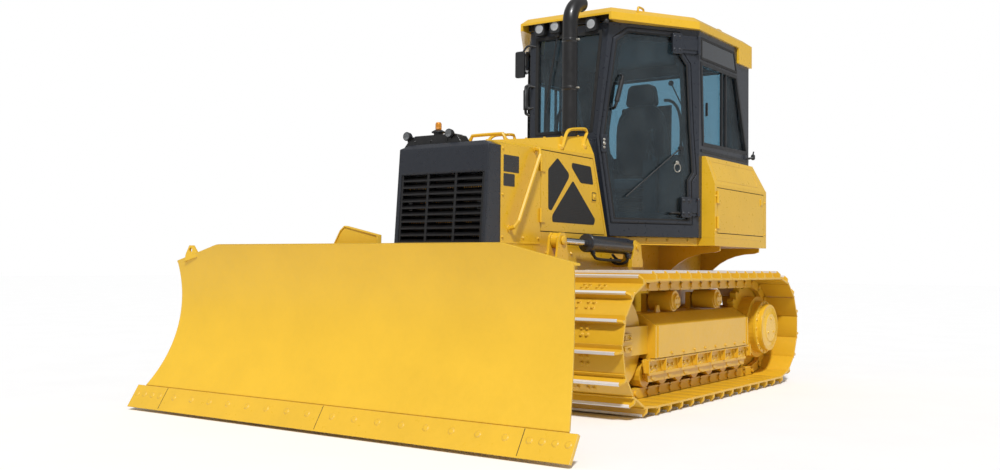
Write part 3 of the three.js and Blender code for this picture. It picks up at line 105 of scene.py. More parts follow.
# ------------------------------------------------------------------ node materials
class Graph:
    """A material's node tree, with short calls to add and join its nodes."""

    def __init__(self, name: str) -> None:
        """Starts an empty material.

        Args:
            name: The material's name.
        """
        self.material = bpy.data.materials.new(name)
        self.material.use_nodes = True
        self.tree = self.material.node_tree
        self.tree.nodes.clear()
        self.output = self.tree.nodes.new("ShaderNodeOutputMaterial")

    def node(self, kind: str, inputs: dict | None = None, **settings: object) -> bpy.types.Node:
        """Adds a node.

        Args:
            kind: The node's type name.
            inputs: Values or sockets for its inputs, by name or number.
            settings: The node's own properties.

        Returns:
            The node.
        """
        made = self.tree.nodes.new(kind)
        for key, value in settings.items():
            setattr(made, key, value)
        for key, value in (inputs or {}).items():
            if isinstance(value, bpy.types.NodeSocket):
                self.tree.links.new(value, made.inputs[key])
            else:
                made.inputs[key].default_value = value
        return made

    def place(self) -> bpy.types.NodeSocket:
        """The point on the surface, in the object's own space."""
        return self.node("ShaderNodeTexCoord").outputs["Object"]

    def noise(self, scale: float, detail: float = 4.0, stretch: Point = (1, 1, 1)) -> bpy.types.NodeSocket:
        """Noise in the object's own space, as a value around a half.

        Args:
            scale: Features per metre, roughly.
            detail: Octaves of finer noise.
            stretch: A factor on each axis.

        Returns:
            The noise value's socket.
        """
        moved = self.node("ShaderNodeMapping", {"Vector": self.place(), "Scale": stretch}).outputs[0]
        inputs = {"Vector": moved, "Scale": scale, "Detail": detail, "Roughness": 0.6}
        return self.node("ShaderNodeTexNoise", inputs).outputs[0]

    def ramp(self, value: bpy.types.NodeSocket, low: float, high: float,
             to_low: float = 0.0, to_high: float = 1.0) -> bpy.types.NodeSocket:
        """Maps a range of a value to another range, clamped.

        Args:
            value: The value's socket.
            low: Start of the range read.
            high: End of the range read.
            to_low: What low becomes.
            to_high: What high becomes.

        Returns:
            The mapped value's socket.
        """
        inputs = {0: value, 1: low, 2: high, 3: to_low, 4: to_high}
        return self.node("ShaderNodeMapRange", inputs).outputs[0]

    def math(self, operation: str, a: object, b: object = 0.0) -> bpy.types.NodeSocket:
        """One arithmetic step on two values or sockets."""
        return self.node("ShaderNodeMath", {0: a, 1: b}, operation=operation).outputs[0]

    def mix(self, factor: object, a: object, b: object) -> bpy.types.NodeSocket:
        """Mixes two colours by a factor from 0 to 1."""
        made = self.node("ShaderNodeMix", data_type="RGBA")
        for key, value in ((0, factor), (6, a), (7, b)):
            if isinstance(value, bpy.types.NodeSocket):
                self.tree.links.new(value, made.inputs[key])
            else:
                made.inputs[key].default_value = value if key == 0 else (*value, 1.0)
        return made.outputs[2]

    def edges(self, radius: float) -> tuple[bpy.types.NodeSocket, bpy.types.NodeSocket]:
        """Rounded normals, and a mask of the sharp edges that they round.

        Args:
            radius: The rounding radius in metres.

        Returns:
            The rounded normal and the edge mask.
        """
        rounded = self.node("ShaderNodeBevel", {"Radius": radius}, samples=4).outputs[0]
        true = self.node("ShaderNodeNewGeometry").outputs["Normal"]
        dot = self.node("ShaderNodeVectorMath", {0: rounded, 1: true}, operation="DOT_PRODUCT")
        return rounded, self.ramp(dot.outputs["Value"], 0.97, 0.80)

    def upward(self) -> bpy.types.NodeSocket:
        """How far a surface faces up, from 0 to 1."""
        normal = self.node("ShaderNodeNewGeometry").outputs["Normal"]
        z = self.node("ShaderNodeSeparateXYZ", {0: normal}).outputs["Z"]
        return self.ramp(z, 0.2, 1.0)

    def bump(self, strength: float, distance: float, height: bpy.types.NodeSocket,
             normal: bpy.types.NodeSocket | None = None) -> bpy.types.NodeSocket:
        """A bumped normal.

        Args:
            strength: The bump's strength, from 0 to 1.
            distance: Its depth in metres.
            height: The height's socket.
            normal: The normal that it starts from, or None for the surface's own.

        Returns:
            The bumped normal's socket.
        """
        inputs = {"Strength": strength, "Distance": distance, "Height": height}
        if normal:
            inputs["Normal"] = normal
        return self.node("ShaderNodeBump", inputs).outputs[0]

    def finish(self, shader: bpy.types.NodeSocket) -> bpy.types.Material:
        """Joins the shader to the output and returns the material."""
        self.tree.links.new(shader, self.output.inputs["Surface"])
        return self.material

    def surface(self, colour: bpy.types.NodeSocket, roughness: object,
                normal: bpy.types.NodeSocket | None = None, **more: object) -> bpy.types.Material:
        """Finishes the material as one solid surface.

        Args:
            colour: Its base colour's socket.
            roughness: Its roughness, as a value or a socket.
            normal: Its normal's socket, or None for the surface's own.
            more: Other inputs, named with underscores for spaces.

        Returns:
            The material.
        """
        inputs = {"Base Color": colour, "Roughness": roughness}
        if normal:
            inputs["Normal"] = normal
        inputs.update({key.replace("_", " "): value for key, value in more.items()})
        return self.finish(self.node("ShaderNodeBsdfPrincipled", inputs).outputs[0])


class Finish:
    """A surface finish that makes its material once and hands it out after that."""

    _made: dict[str, bpy.types.Material] = {}

    def material(self) -> bpy.types.Material:
        """Returns the finish's material, made on first use."""
        name = getattr(self, "name")
        if name not in Finish._made:
            Finish._made[name] = self.make()
        return Finish._made[name]

    def make(self) -> bpy.types.Material:
        """Makes the material."""
        raise NotImplementedError


@dataclass(frozen=True)
class Paint(Finish):
    """Sprayed machine paint with dust on top, orange peel and lightly worn edges."""

    name: str
    colour: Colour
    roughness: float = 0.32
    coat: float = 0.35
    dust: float = 0.12
    wear: float = 0.35
    rounding: float = 0.004
    worn_colour: Colour = (0.86, 0.60, 0.12)
    dust_colour: Colour = (0.40, 0.29, 0.15)

    def make(self) -> bpy.types.Material:
        """Makes the material."""
        g = Graph(self.name)
        patches = g.ramp(g.noise(2.2, 5), 0.3, 0.7)
        fine = g.ramp(g.noise(38, 3), 0.35, 0.65)
        shade = [c * 0.90 for c in self.colour]
        base = g.mix(patches, shade, self.colour)
        base = g.mix(g.math("MULTIPLY", fine, 0.06), base, [min(1.0, c * 1.25 + 0.01) for c in self.colour])
        rounded, edge = g.edges(self.rounding)
        chips = g.math("MULTIPLY", edge, g.ramp(g.noise(60, 5), 0.45, 0.7, 0.1, self.wear))
        base = g.mix(chips, base, self.worn_colour)
        settled = g.math("MULTIPLY", g.upward(), g.ramp(g.noise(9, 6), 0.4, 0.8, 0.05, 0.8))
        streaks = g.ramp(g.noise(14, 4, (1, 1, 0.12)), 0.55, 0.85, 0.0, 0.35)
        dirt = g.math("MULTIPLY", g.math("MAXIMUM", settled, streaks), self.dust)
        base = g.mix(dirt, base, self.dust_colour)
        rough = g.math("ADD", g.ramp(fine, 0.0, 1.0, self.roughness - 0.05, self.roughness + 0.07),
                       g.math("MULTIPLY", dirt, 0.8))
        peel = g.bump(0.06, 0.002, g.noise(260, 2), rounded)
        return g.surface(base, rough, peel, Coat_Weight=self.coat, Coat_Roughness=0.12)


@dataclass(frozen=True)
class Metal(Finish):
    """Bare or plated metal with brushed scratches and stains."""

    name: str
    colour: Colour = (0.62, 0.62, 0.63)
    roughness: float = 0.22
    stain: float = 0.3
    stain_colour: Colour = (0.16, 0.10, 0.06)
    metallic: float = 1.0

    def make(self) -> bpy.types.Material:
        """Makes the material."""
        g = Graph(self.name)
        blotches = g.ramp(g.noise(22, 6), 0.5, 0.8, 0.0, self.stain)
        base = g.mix(blotches, self.colour, self.stain_colour)
        scratch = g.noise(180, 3, (1, 1, 0.08))
        rough = g.math("ADD", g.ramp(scratch, 0.3, 0.7, self.roughness - 0.06, self.roughness + 0.1),
                       g.math("MULTIPLY", blotches, 0.5))
        rounded, _edge = g.edges(0.002)
        return g.surface(base, rough, g.bump(0.15, 0.001, scratch, rounded), Metallic=self.metallic)


@dataclass(frozen=True)
class Moulded(Finish):
    """Plastic or rubber with a fine grain, scuffed and a little dusty."""

    name: str
    colour: Colour = (0.012, 0.012, 0.013)
    roughness: float = 0.5
    grain: float = 700.0
    depth: float = 0.25

    def make(self) -> bpy.types.Material:
        """Makes the material."""
        g = Graph(self.name)
        scuffs = g.ramp(g.noise(16, 5), 0.55, 0.8, 0.0, 0.25)
        base = g.mix(scuffs, self.colour, [c * 1.8 + 0.02 for c in self.colour])
        rough = g.ramp(g.noise(45, 3), 0.3, 0.7, self.roughness - 0.08, self.roughness + 0.1)
        rounded, _edge = g.edges(0.003)
        return g.surface(base, rough, g.bump(self.depth, 0.0006, g.noise(self.grain, 2), rounded))


@dataclass(frozen=True)
class Fabric(Finish):
    """Woven seat cloth."""

    name: str
    colour: Colour = (0.026, 0.030, 0.038)

    def make(self) -> bpy.types.Material:
        """Makes the material."""
        g = Graph(self.name)
        place = g.place()
        warp = g.node("ShaderNodeTexWave", {"Vector": place, "Scale": 260.0, "Distortion": 0.6},
                      bands_direction="Y").outputs[0]
        weft = g.node("ShaderNodeTexWave", {"Vector": place, "Scale": 260.0, "Distortion": 0.6},
                      bands_direction="Z").outputs[0]
        weave = g.math("MULTIPLY", g.node("ShaderNodeRGBToBW", {0: warp}).outputs[0],
                       g.node("ShaderNodeRGBToBW", {0: weft}).outputs[0])
        base = g.mix(g.ramp(weave, 0.0, 1.0, 0.0, 0.5), self.colour, [c * 1.5 for c in self.colour])
        base = g.mix(g.ramp(g.noise(7, 4), 0.5, 0.8, 0.0, 0.3), base, (0.10, 0.09, 0.075))
        return g.surface(base, 0.9, g.bump(0.5, 0.001, weave), Sheen_Weight=0.4, Sheen_Roughness=0.5)


@dataclass(frozen=True)
class Glazing(Finish):
    """Thin safety glass: mostly clear, slightly tinted, with a film of dust."""

    name: str
    tint: Colour = (0.56, 0.70, 0.76)
    shine: float = 0.07

    def make(self) -> bpy.types.Material:
        """Makes the material."""
        g = Graph(self.name)
        clear = g.node("ShaderNodeBsdfTransparent", {"Color": (*self.tint, 1.0)}).outputs[0]
        rough = g.ramp(g.noise(11, 4), 0.3, 0.8, 0.01, 0.05)
        sheen = {"Color": (0.9, 0.95, 1.0, 1.0), "Roughness": rough}
        gloss = g.node("ShaderNodeBsdfGlossy", sheen).outputs[0]
        film = g.node("ShaderNodeBsdfDiffuse", {"Color": (0.55, 0.6, 0.6, 1.0)}).outputs[0]
        glass = g.node("ShaderNodeMixShader", {0: self.shine, 1: clear, 2: gloss}).outputs[0]
        dust = g.ramp(g.noise(5, 6), 0.4, 0.8, 0.004, 0.03)
        return g.finish(g.node("ShaderNodeMixShader", {0: dust, 1: glass, 2: film}).outputs[0])


@dataclass(frozen=True)
class Perforated(Finish):
    """Dark sheet steel punched with round holes, seen as near-black dots of painted shade with a shaded rim.
    """

    name: str
    colour: Colour = (0.016, 0.017, 0.019)
    # Near-black painted shade inside the holes.
    hole_colour: Colour = (0.004, 0.004, 0.004)
    pitch: float = 0.011
    glow: float = 0.0

    def make(self) -> bpy.types.Material:
        """Makes the material."""
        g = Graph(self.name)
        place = g.place()
        cells = g.node("ShaderNodeTexVoronoi", {"Vector": place, "Scale": 1 / self.pitch, "Randomness": 0.0})
        # The holes are painted near-black: painted shade for the dark space behind the sheet. Where glow is
        # set, amber flecks stand for the yellow core behind.
        hole = g.ramp(cells.outputs["Distance"], 0.36, 0.30)
        specks = g.ramp(g.noise(60, 4), 0.55, 0.7)
        metal = g.mix(specks, self.colour, [c * 1.7 for c in self.colour])
        flecks = g.math("MULTIPLY", g.ramp(g.noise(9, 2), 0.44, 0.54), self.glow)
        amber = g.mix(flecks, self.hole_colour, (0.80, 0.42, 0.05))
        base = g.mix(hole, metal, amber)
        return g.surface(base, 0.55, g.bump(0.4, 0.001, g.math("SUBTRACT", 1.0, hole)))


@dataclass(frozen=True)
class Lens(Finish):
    """A lamp's ribbed lens or a coloured beacon cover."""

    name: str
    colour: Colour = (0.85, 0.88, 0.9)
    ribs: float = 90.0

    def make(self) -> bpy.types.Material:
        """Makes the material."""
        g = Graph(self.name)
        place = g.place()
        wave = g.node("ShaderNodeTexWave", {"Vector": place, "Scale": self.ribs, "Distortion": 0.3},
                      bands_direction="Y").outputs[0]
        height = g.node("ShaderNodeRGBToBW", {0: wave}).outputs[0]
        # Rib crests painted darker than the troughs: painted shade along the ribs, on top of the real bump.
        base = g.mix(g.ramp(height, 0.0, 1.0, 0.0, 0.5), self.colour, [c * 0.55 for c in self.colour])
        bump = g.bump(0.6, 0.002, height)
        return g.surface(base, 0.12, bump, Metallic=0.35, Coat_Weight=1.0, Coat_Roughness=0.03)


YELLOW = Paint("yellow_paint", (0.76, 0.45, 0.020), dust=0.07)
BLADE_YELLOW = Paint("blade_paint", (0.76, 0.46, 0.024), roughness=0.5, coat=0.08, dust=0.03, rounding=0.006)
TRACK_YELLOW = Paint("track_paint", (0.70, 0.40, 0.018), roughness=0.38, coat=0.2, dust=0.08, wear=0.4,
                     rounding=0.003)
EDGE_YELLOW = Paint("edge_paint", (0.75, 0.45, 0.026), dust=0.06, wear=0.8, worn_colour=(0.55, 0.5, 0.42))
SLATE = Paint("slate_paint", (0.018, 0.022, 0.031), dust=0.03, wear=0.25, worn_colour=(0.07, 0.08, 0.10),
              rounding=0.006)
HOUSING = Paint("housing_paint", (0.015, 0.018, 0.026), dust=0.02, wear=0.05, worn_colour=(0.04, 0.05, 0.06),
                rounding=0.028)
TIP_STEEL = Metal("polished_tips", (0.80, 0.80, 0.80), roughness=0.35, stain=0.05, metallic=0.3)
BAND = Moulded("glass_band", (0.006, 0.006, 0.007), roughness=0.2, depth=0.04)
BLACK = Paint("black_paint", (0.006, 0.006, 0.007), roughness=0.36, coat=0.3, dust=0.025, wear=0.2,
              worn_colour=(0.04, 0.04, 0.045))
ENGINE = Paint("engine_paint", (0.09, 0.09, 0.085), roughness=0.6, coat=0.0, dust=0.4,
               worn_colour=(0.2, 0.19, 0.18))
CHROME = Metal("rod_chrome", (0.72, 0.73, 0.75), roughness=0.1, stain=0.06)
ZINC = Metal("zinc_plate", (0.58, 0.56, 0.50), roughness=0.32, stain=0.2)
RUBBER = Moulded("rubber", (0.010, 0.010, 0.010), roughness=0.65)
PLASTIC = Moulded("moulded_plastic", (0.014, 0.015, 0.017), roughness=0.45)
TRIM = Moulded("cab_trim", (0.020, 0.022, 0.025), roughness=0.6, grain=500)
CLOTH = Fabric("seat_cloth")
GLASS = Glazing("cab_glass")
DARK_GLASS = Paint("dark_glass", (0.008, 0.014, 0.022), roughness=0.08, coat=1.0, dust=0.02, wear=0.02)
MESH = Perforated("door_mesh")
CORE = Perforated("radiator_core", (0.012, 0.011, 0.010), pitch=0.018, glow=1.0)
LAMP = Lens("lamp_lens", (0.62, 0.65, 0.68))
DARK_LENS = Lens("dark_lens", (0.16, 0.17, 0.18), ribs=70)
AMBER = Lens("amber_lens", (0.85, 0.32, 0.02), ribs=40)
PLATE = Paint("blank_plate", (0.02, 0.02, 0.022), dust=0.03, worn_colour=(0.5, 0.5, 0.5))
MIRROR = Metal("mirror_glass", (0.85, 0.87, 0.9), roughness=0.08, stain=0.02)


# ------------------------------------------------------------------ shapes
def turned(vector: Vector, degrees: float, axis: Vector) -> Vector:
    """The vector turned about an axis by the right-hand rule."""
    return Matrix.Rotation(math.radians(degrees), 3, axis) @ vector


def across(direction: Vector) -> tuple[Vector, Vector]:
    """Two unit vectors square to a direction and to each other."""
    helper = Z_AXIS if abs(direction.z) < 0.9 else X_AXIS
    u = helper.cross(direction).normalized()
    return u, direction.cross(u)


def smoothed(points: Sequence[Vector], steps: int) -> list[Vector]:
    """A Catmull-Rom curve through points.

    Args:
        points: The points to pass through.
        steps: Points on each stretch.

    Returns:
        The curve's points.
    """
    if steps < 2:
        return list(points)
    ends = [points[0] * 2 - points[1], *points, points[-1] * 2 - points[-2]]
    curve = []
    for i in range(1, len(ends) - 2):
        a, b, c, d = ends[i - 1:i + 3]
        for k in range(steps):
            t = k / steps
            curve.append(0.5 * (2 * b + (c - a) * t + (2 * a - 5 * b + 4 * c - d) * t * t
                                + (3 * b - a - 3 * c + d) * t ** 3))
    return [*curve, points[-1]]


def tangents_of(path: Sequence[Vector]) -> list[Vector]:
    """The unit direction of a path at each of its points."""
    last = len(path) - 1
    return [(path[min(i + 1, last)] - path[max(i - 1, 0)]).normalized() for i in range(len(path))]


def turns(sides: int) -> list[float]:
    """The angles of a regular polygon's corners, in radians."""
    return [2 * math.pi * i / sides for i in range(sides)]


def rectangle(low: Point, high: Point) -> list[tuple[float, float]]:
    """The four corners of a rectangle, anticlockwise from its low corner."""
    return [(low[0], low[1]), (high[0], low[1]), (high[0], high[1]), (low[0], high[1])]


def rounded_outline(outline: Sequence[Point], radius: float, steps: int = 4) -> list[tuple[float, float]]:
    """An outline with its corners replaced by arcs.

    Args:
        outline: The corner points.
        radius: The distance from each corner at which its arc starts.
        steps: Stretches in each arc.

    Returns:
        The rounded outline.
    """
    count = len(outline)
    points = []
    for i, corner in enumerate(outline):
        here = Vector(corner)
        before = Vector(outline[i - 1]) - here
        after = Vector(outline[(i + 1) % count]) - here
        a = here + before.normalized() * min(radius, before.length / 2)
        b = here + after.normalized() * min(radius, after.length / 2)
        for k in range(steps + 1):
            t = k / steps
            point = a * (1 - t) ** 2 + here * 2 * t * (1 - t) + b * t * t
            points.append((point.x, point.y))
    return points


def add_object(name: str, data: bpy.types.ID) -> bpy.types.Object:
    """Makes an object from its data and puts it in the scene."""
    made = bpy.data.objects.new(name, data)
    bpy.context.scene.collection.objects.link(made)
    return made


def soft_square(a: float, b: float, half_a: float, half_b: float, radius: float) -> list[tuple[float, float]]:
    """A rounded rectangle about a centre."""
    return rounded_outline(rectangle((a - half_a, b - half_b), (a + half_a, b + half_b)), radius)


class Shape:
    """A mesh put together from simple closed solids, in millimetres."""

    def __init__(self) -> None:
        """Starts with nothing."""
        self.verts: list[Vector] = []
        self.faces: list[list[int]] = []

    def solid(self, verts: Iterable[Point], faces: Iterable[Sequence[int]]) -> "Shape":
        """Adds one closed solid by its points and faces."""
        base = len(self.verts)
        self.verts += [Vector(v) for v in verts]
        self.faces += [[base + i for i in f] for f in faces]
        return self

    def rings(self, rings: Sequence[Sequence[Vector]], loop: bool = False) -> "Shape":
        """Adds a solid through rings of equally many points, capped unless it closes on itself."""
        count = len(rings[0])
        faces = []
        last = len(rings) if loop else len(rings) - 1
        for r in range(last):
            for i in range(count):
                a, b = r * count + i, r * count + (i + 1) % count
                shift = ((r + 1) % len(rings) - r) * count
                faces.append([a, b, b + shift, a + shift])
        if not loop:
            faces.append(list(range(count - 1, -1, -1)))
            faces.append([(len(rings) - 1) * count + i for i in range(count)])
        return self.solid([p for ring in rings for p in ring], faces)

    def prism(self, outline: Sequence[Point], depth: float, origin: Vector, u: Vector, v: Vector) -> "Shape":
        """Adds an outline in the u, v plane, carried along u x v by a depth."""
        w = u.cross(v)
        low = [origin + u * p[0] + v * p[1] for p in outline]
        return self.rings([low, [p + w * depth for p in low]])

    def box(self, low: Point, high: Point) -> "Shape":
        """Adds a box between two corners."""
        return self.prism(rectangle(low, high), high[2] - low[2], Vector((0, 0, low[2])), X_AXIS, Y_AXIS)

    def slab_y(self, outline: Sequence[Point], low: float, high: float) -> "Shape":
        """Adds an outline of (x, z) points between two Y values."""
        return self.prism([(z, x) for x, z in outline], high - low, Vector((0, low, 0)), Z_AXIS, X_AXIS)

    def slab_x(self, outline: Sequence[Point], low: float, high: float) -> "Shape":
        """Adds an outline of (y, z) points between two X values."""
        return self.prism(outline, high - low, Vector((low, 0, 0)), Y_AXIS, Z_AXIS)

    def slab_z(self, outline: Sequence[Point], low: float, high: float) -> "Shape":
        """Adds an outline of (x, y) points between two Z values."""
        return self.prism(outline, high - low, Vector((0, 0, low)), X_AXIS, Y_AXIS)

    def round(self, start: Point, end: Point, radius: float, end_radius: float | None = None,
              sides: int = 32) -> "Shape":
        """Adds a round bar or cone between two points."""
        far_radius = radius if end_radius is None else end_radius
        return self.turning(start, end, [(0.0, radius), (1.0, far_radius)], sides)

    def turning(self, start: Point, end: Point, profile: Sequence[tuple[float, float]],
                sides: int = 32) -> "Shape":
        """Adds a turned solid between two points.

        Args:
            start: One end of its axis.
            end: The other end.
            profile: Share of the length and radius at each step.
            sides: Sides of each ring.

        Returns:
            The shape itself.
        """
        a, b = Vector(start), Vector(end)
        u, v = across((b - a).normalized())
        rings = []
        for share, radius in profile:
            centre = a.lerp(b, share)
            rings.append([centre + (u * math.cos(a) + v * math.sin(a)) * radius for a in turns(sides)])
        return self.rings(rings)

    def tube(self, points: Sequence[Point], radius: float, sides: int = 12, steps: int = 6) -> "Shape":
        """Adds a bent bar or hose along a smooth curve through points."""
        path = smoothed([Vector(p) for p in points], steps)
        tangents = tangents_of(path)
        u, _v = across(tangents[0])
        rings = []
        for point, tangent in zip(path, tangents):
            u = (u - tangent * u.dot(tangent)).normalized()
            v = tangent.cross(u)
            rings.append([point + (u * math.cos(a) + v * math.sin(a)) * radius for a in turns(sides)])
        return self.rings(rings)

    def bolt(self, seat: Point, outward: Vector, radius: float = 11, height: float = 8) -> "Shape":
        """Adds a hexagon bolt head on a washer."""
        base = Vector(seat)
        self.round(base - outward * 2, base + outward * 2.5, radius * 1.35, sides=16)
        return self.round(base + outward * 2, base + outward * (2.5 + height), radius, radius * 0.96, sides=6)

    def bolts(self, seats: Iterable[Point], outward: Vector, radius: float = 11,
              height: float = 8) -> "Shape":
        """Adds a bolt at each seat."""
        for seat in seats:
            self.bolt(seat, outward, radius, height)
        return self

    def bolt_circle(self, centre: Vector, axis: Vector, reach: float, angles: Iterable[float],
                    radius: float, height: float) -> "Shape":
        """Adds bolts round a centre.

        Args:
            centre: The circle's centre, on the seat's face.
            axis: The way the bolts look.
            reach: The circle's radius.
            angles: Each bolt's turn from the +X axis, in degrees.
            radius: Radius of each head.
            height: Height of each head.

        Returns:
            The shape itself.
        """
        return self.bolts([centre + turned(X_AXIS, a, axis) * reach for a in angles], axis, radius, height)

    def copy_to(self, side: Side) -> "Shape":
        """This shape, or its mirror image for the machine's right side."""
        other = Shape()
        flip = Vector((1, side.value, 1))
        other.verts = [v * flip for v in self.verts]
        other.faces = self.faces if side is Side.LEFT else [list(reversed(f)) for f in self.faces]
        return other

    def both(self) -> "Shape":
        """This shape together with its mirror image."""
        other = self.copy_to(Side.RIGHT)
        return self.solid(other.verts, other.faces)

    def build(self, name: str, finish: Finish, body: str = Body.CHASSIS.value, bevel: float = 1.5,
              sharp: float = 32.0, segments: int = 2) -> bpy.types.Object:
        """Makes the Blender object.

        Args:
            name: The piece's name.
            finish: Its finish.
            body: The CAD body that it rides on.
            bevel: Radius of its rounded edges, or 0.
            sharp: Angle in degrees above which an edge counts as sharp.
            segments: Steps across a rounded edge.

        Returns:
            The object.
        """
        mesh = bpy.data.meshes.new(name)
        mesh.from_pydata([v * MM for v in self.verts], [], self.faces)
        tool = bmesh.new()
        tool.from_mesh(mesh)
        bmesh.ops.recalc_face_normals(tool, faces=tool.faces)
        limit = math.radians(sharp)
        for face in tool.faces:
            face.smooth = True
        for edge in tool.edges:
            edge.smooth = edge.calc_face_angle(0.0) < limit
        tool.to_mesh(mesh)
        tool.free()
        mesh.materials.append(finish.material())
        made = add_object(name, mesh)
        if bevel > 0:
            modifier = made.modifiers.new("rounded_edges", "BEVEL")
            modifier.width = bevel * MM
            modifier.segments = segments
            modifier.limit_method = "ANGLE"
            modifier.angle_limit = limit
            modifier.harden_normals = True
            modifier.use_clamp_overlap = True
        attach(made, body)
        return made


def paint_pair(part: str, finish: Finish) -> None:
    """Gives both sides' CAD nodes of a part, such as left_cab_door, a finish."""
    for side in each_side():
        paint_node(f"{side.label}_{part}", finish)


def each_side() -> tuple[Side, Side]:
    """Both sides of the machine."""
    return Side.LEFT, Side.RIGHT


def body_of(part: str) -> Callable[[Side], str]:
    """Names the CAD body of a part that each side has, such as left_cab_door."""
    return lambda side: f"{side.label}_{part}"


def build_pair(shape: Shape, name: str, finish: Finish, body: Callable[[Side], str] | None = None,
               **options: float) -> list[bpy.types.Object]:
    """Builds a left-hand shape and its mirror image as two pieces.

    Args:
        shape: The left-hand shape.
        name: The pieces' common name.
        finish: Their finish.
        body: Gives the body of each side, or None for the chassis.
        options: Passed on to Shape.build.

    Returns:
        The two objects.
    """
    made = []
    for side in each_side():
        rides_on = body(side) if body else Body.CHASSIS.value
        made.append(shape.copy_to(side).build(f"{side.label}_{name}", finish, rides_on, **options))
    return made


def paint_node(node: str, finish: Finish) -> None:
    """Gives a CAD node a finish through its material slots."""
    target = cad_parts[node]
    if not target.material_slots:
        target.data.materials.append(finish.material())
    for slot in target.material_slots:
        slot.material = finish.material()


def in_mm(node: str) -> tuple[Vector, Vector]:
    """The lowest and highest corners of a CAD node, in millimetres."""
    low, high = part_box(node)
    return low / MM, high / MM


# ------------------------------------------------------------------ tracks
@dataclass
class TrackPlaces:
    """Where the wheels of each track stand."""

    sprocket_x: float = -1755
    idler_x: float = 492
    wheel_z: float = 440
    track_y: float = 842


@dataclass
class Tracks(TrackPlaces):
    """Both track loops, with every shoe, link, pin and bolt."""

    shoe_width: float = 620
    shoe_count: int = 41
    grouser: float = 50
    plate: float = 14
    chain_depth: float = 70
    link_centre: float = 52.5
    link_thickness: float = 40
    names: list[str] = field(default_factory=lambda: ["left_track", "right_track"])

    @property
    def radius(self) -> float:
        """Radius of the loop's pitch surface, under the shoe plates."""
        return self.wheel_z - self.grouser - self.plate

    def loop_at(self, distance: float) -> tuple[Vector, Vector]:
        """Point on the loop at a distance along it, and the way out there, both in (x, z)."""
        base = self.idler_x - self.sprocket_x
        arc = math.pi * self.radius
        s = distance % (2 * base + 2 * arc)
        if s < base:
            return Vector((self.sprocket_x + s, self.wheel_z - self.radius)), Vector((0, -1))
        s -= base
        if s < arc:
            out = Vector((math.cos(s / self.radius - math.pi / 2), math.sin(s / self.radius - math.pi / 2)))
            return Vector((self.idler_x, self.wheel_z)) + out * self.radius, out
        s -= arc
        if s < base:
            return Vector((self.idler_x - s, self.wheel_z + self.radius)), Vector((0, 1))
        s -= base
        out = Vector((math.cos(s / self.radius + math.pi / 2), math.sin(s / self.radius + math.pi / 2)))
        return Vector((self.sprocket_x, self.wheel_z)) + out * self.radius, out

    def shoe(self, start: Vector, end: Vector) -> tuple[Shape, Shape, Shape]:
        """One shoe between two chain joints.

        Args:
            start: The joint at its rear, in (x, z).
            end: The joint at its front.

        Returns:
            The painted plate with its bolts, the chain links, and the worn grouser tip.
        """
        along = (end - start).normalized()
        length = (end - start).length
        t = Vector((along.x, 0, along.y))
        n = Vector((along.y, 0, -along.x))
        origin = Vector((start.x, 0, start.y))
        half = self.shoe_width / 2
        tip = length * 0.86
        section = [
            (4, 2), (4, 12), (26, self.plate), (tip - 16, self.plate), (tip - 11, self.plate + self.grouser),
            (tip + 3, self.plate + self.grouser), (tip + 8, self.plate), (length + 14, self.plate + 5),
            (length + 14, self.plate - 2), (length - 6, 0), (20, 0),
        ]
        plate = Shape()
        corner = 26
        rings = []
        for y, trim in ((-half, corner), (-half + corner, 0), (half - corner, 0), (half, corner)):
            edge = origin + Y_AXIS * (self.track_y + y)
            is_plate = self.plate + 6
            rings.append([edge + t * a + n * (b if b <= is_plate else b - trim * 0.9) for a, b in section])
        plate.rings(rings)
        for row in (-1, 1):
            for side in (-19, 19):
                for a in (length * 0.34, length * 0.58):
                    y = self.track_y + row * self.link_centre + side
                    plate.bolt(origin + t * a + n * self.plate + Y_AXIS * y, n, 11, 9)
        worn = Shape()
        height = self.plate + self.grouser
        low = self.track_y - half + 1.1 * corner
        worn.prism([(tip - 13.0, height - 15), (tip + 5.0, height - 15), (tip + 4.2, height + 0.9),
                    (tip - 12.2, height + 0.9)], self.shoe_width - 2.2 * corner, origin + Y_AXIS * low, t, n)
        links = Shape()
        depth = self.chain_depth
        link = [
            (-18, -8), (-18, -depth + 22), (4, -depth + 2), (length - 30, -depth + 2),
            (length + 10, -depth + 20), (length + 14, -20), (length - 10, -2), (10, -2),
        ]
        for row in (-1, 1):
            low = self.track_y + row * self.link_centre - self.link_thickness / 2
            links.prism(link, self.link_thickness, origin + Y_AXIS * low, t, n)
        bush = origin - n * (depth * 0.52)
        links.round(bush + Y_AXIS * (self.track_y - 86), bush + Y_AXIS * (self.track_y + 86), 19, sides=14)
        return plate, links, worn

    def build(self) -> None:
        """Builds both tracks in place of the plain CAD loops."""
        base = 2 * (self.idler_x - self.sprocket_x) + 2 * math.pi * self.radius
        joints = [self.loop_at(base * i / self.shoe_count)[0] for i in range(self.shoe_count)]
        shoes, links, tips = Shape(), Shape(), Shape()
        for i, start in enumerate(joints):
            pieces = self.shoe(start, joints[(i + 1) % self.shoe_count])
            for whole, piece in zip((shoes, links, tips), pieces):
                whole.solid(piece.verts, piece.faces)
        for made, node in zip(build_pair(shoes, "track_shoes", TRACK_YELLOW, bevel=1.6), self.names):
            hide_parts(node)
        build_pair(links, "track_chain", TRACK_YELLOW, bevel=2.0)
        build_pair(tips, "grouser_tips", TIP_STEEL, bevel=0.6)


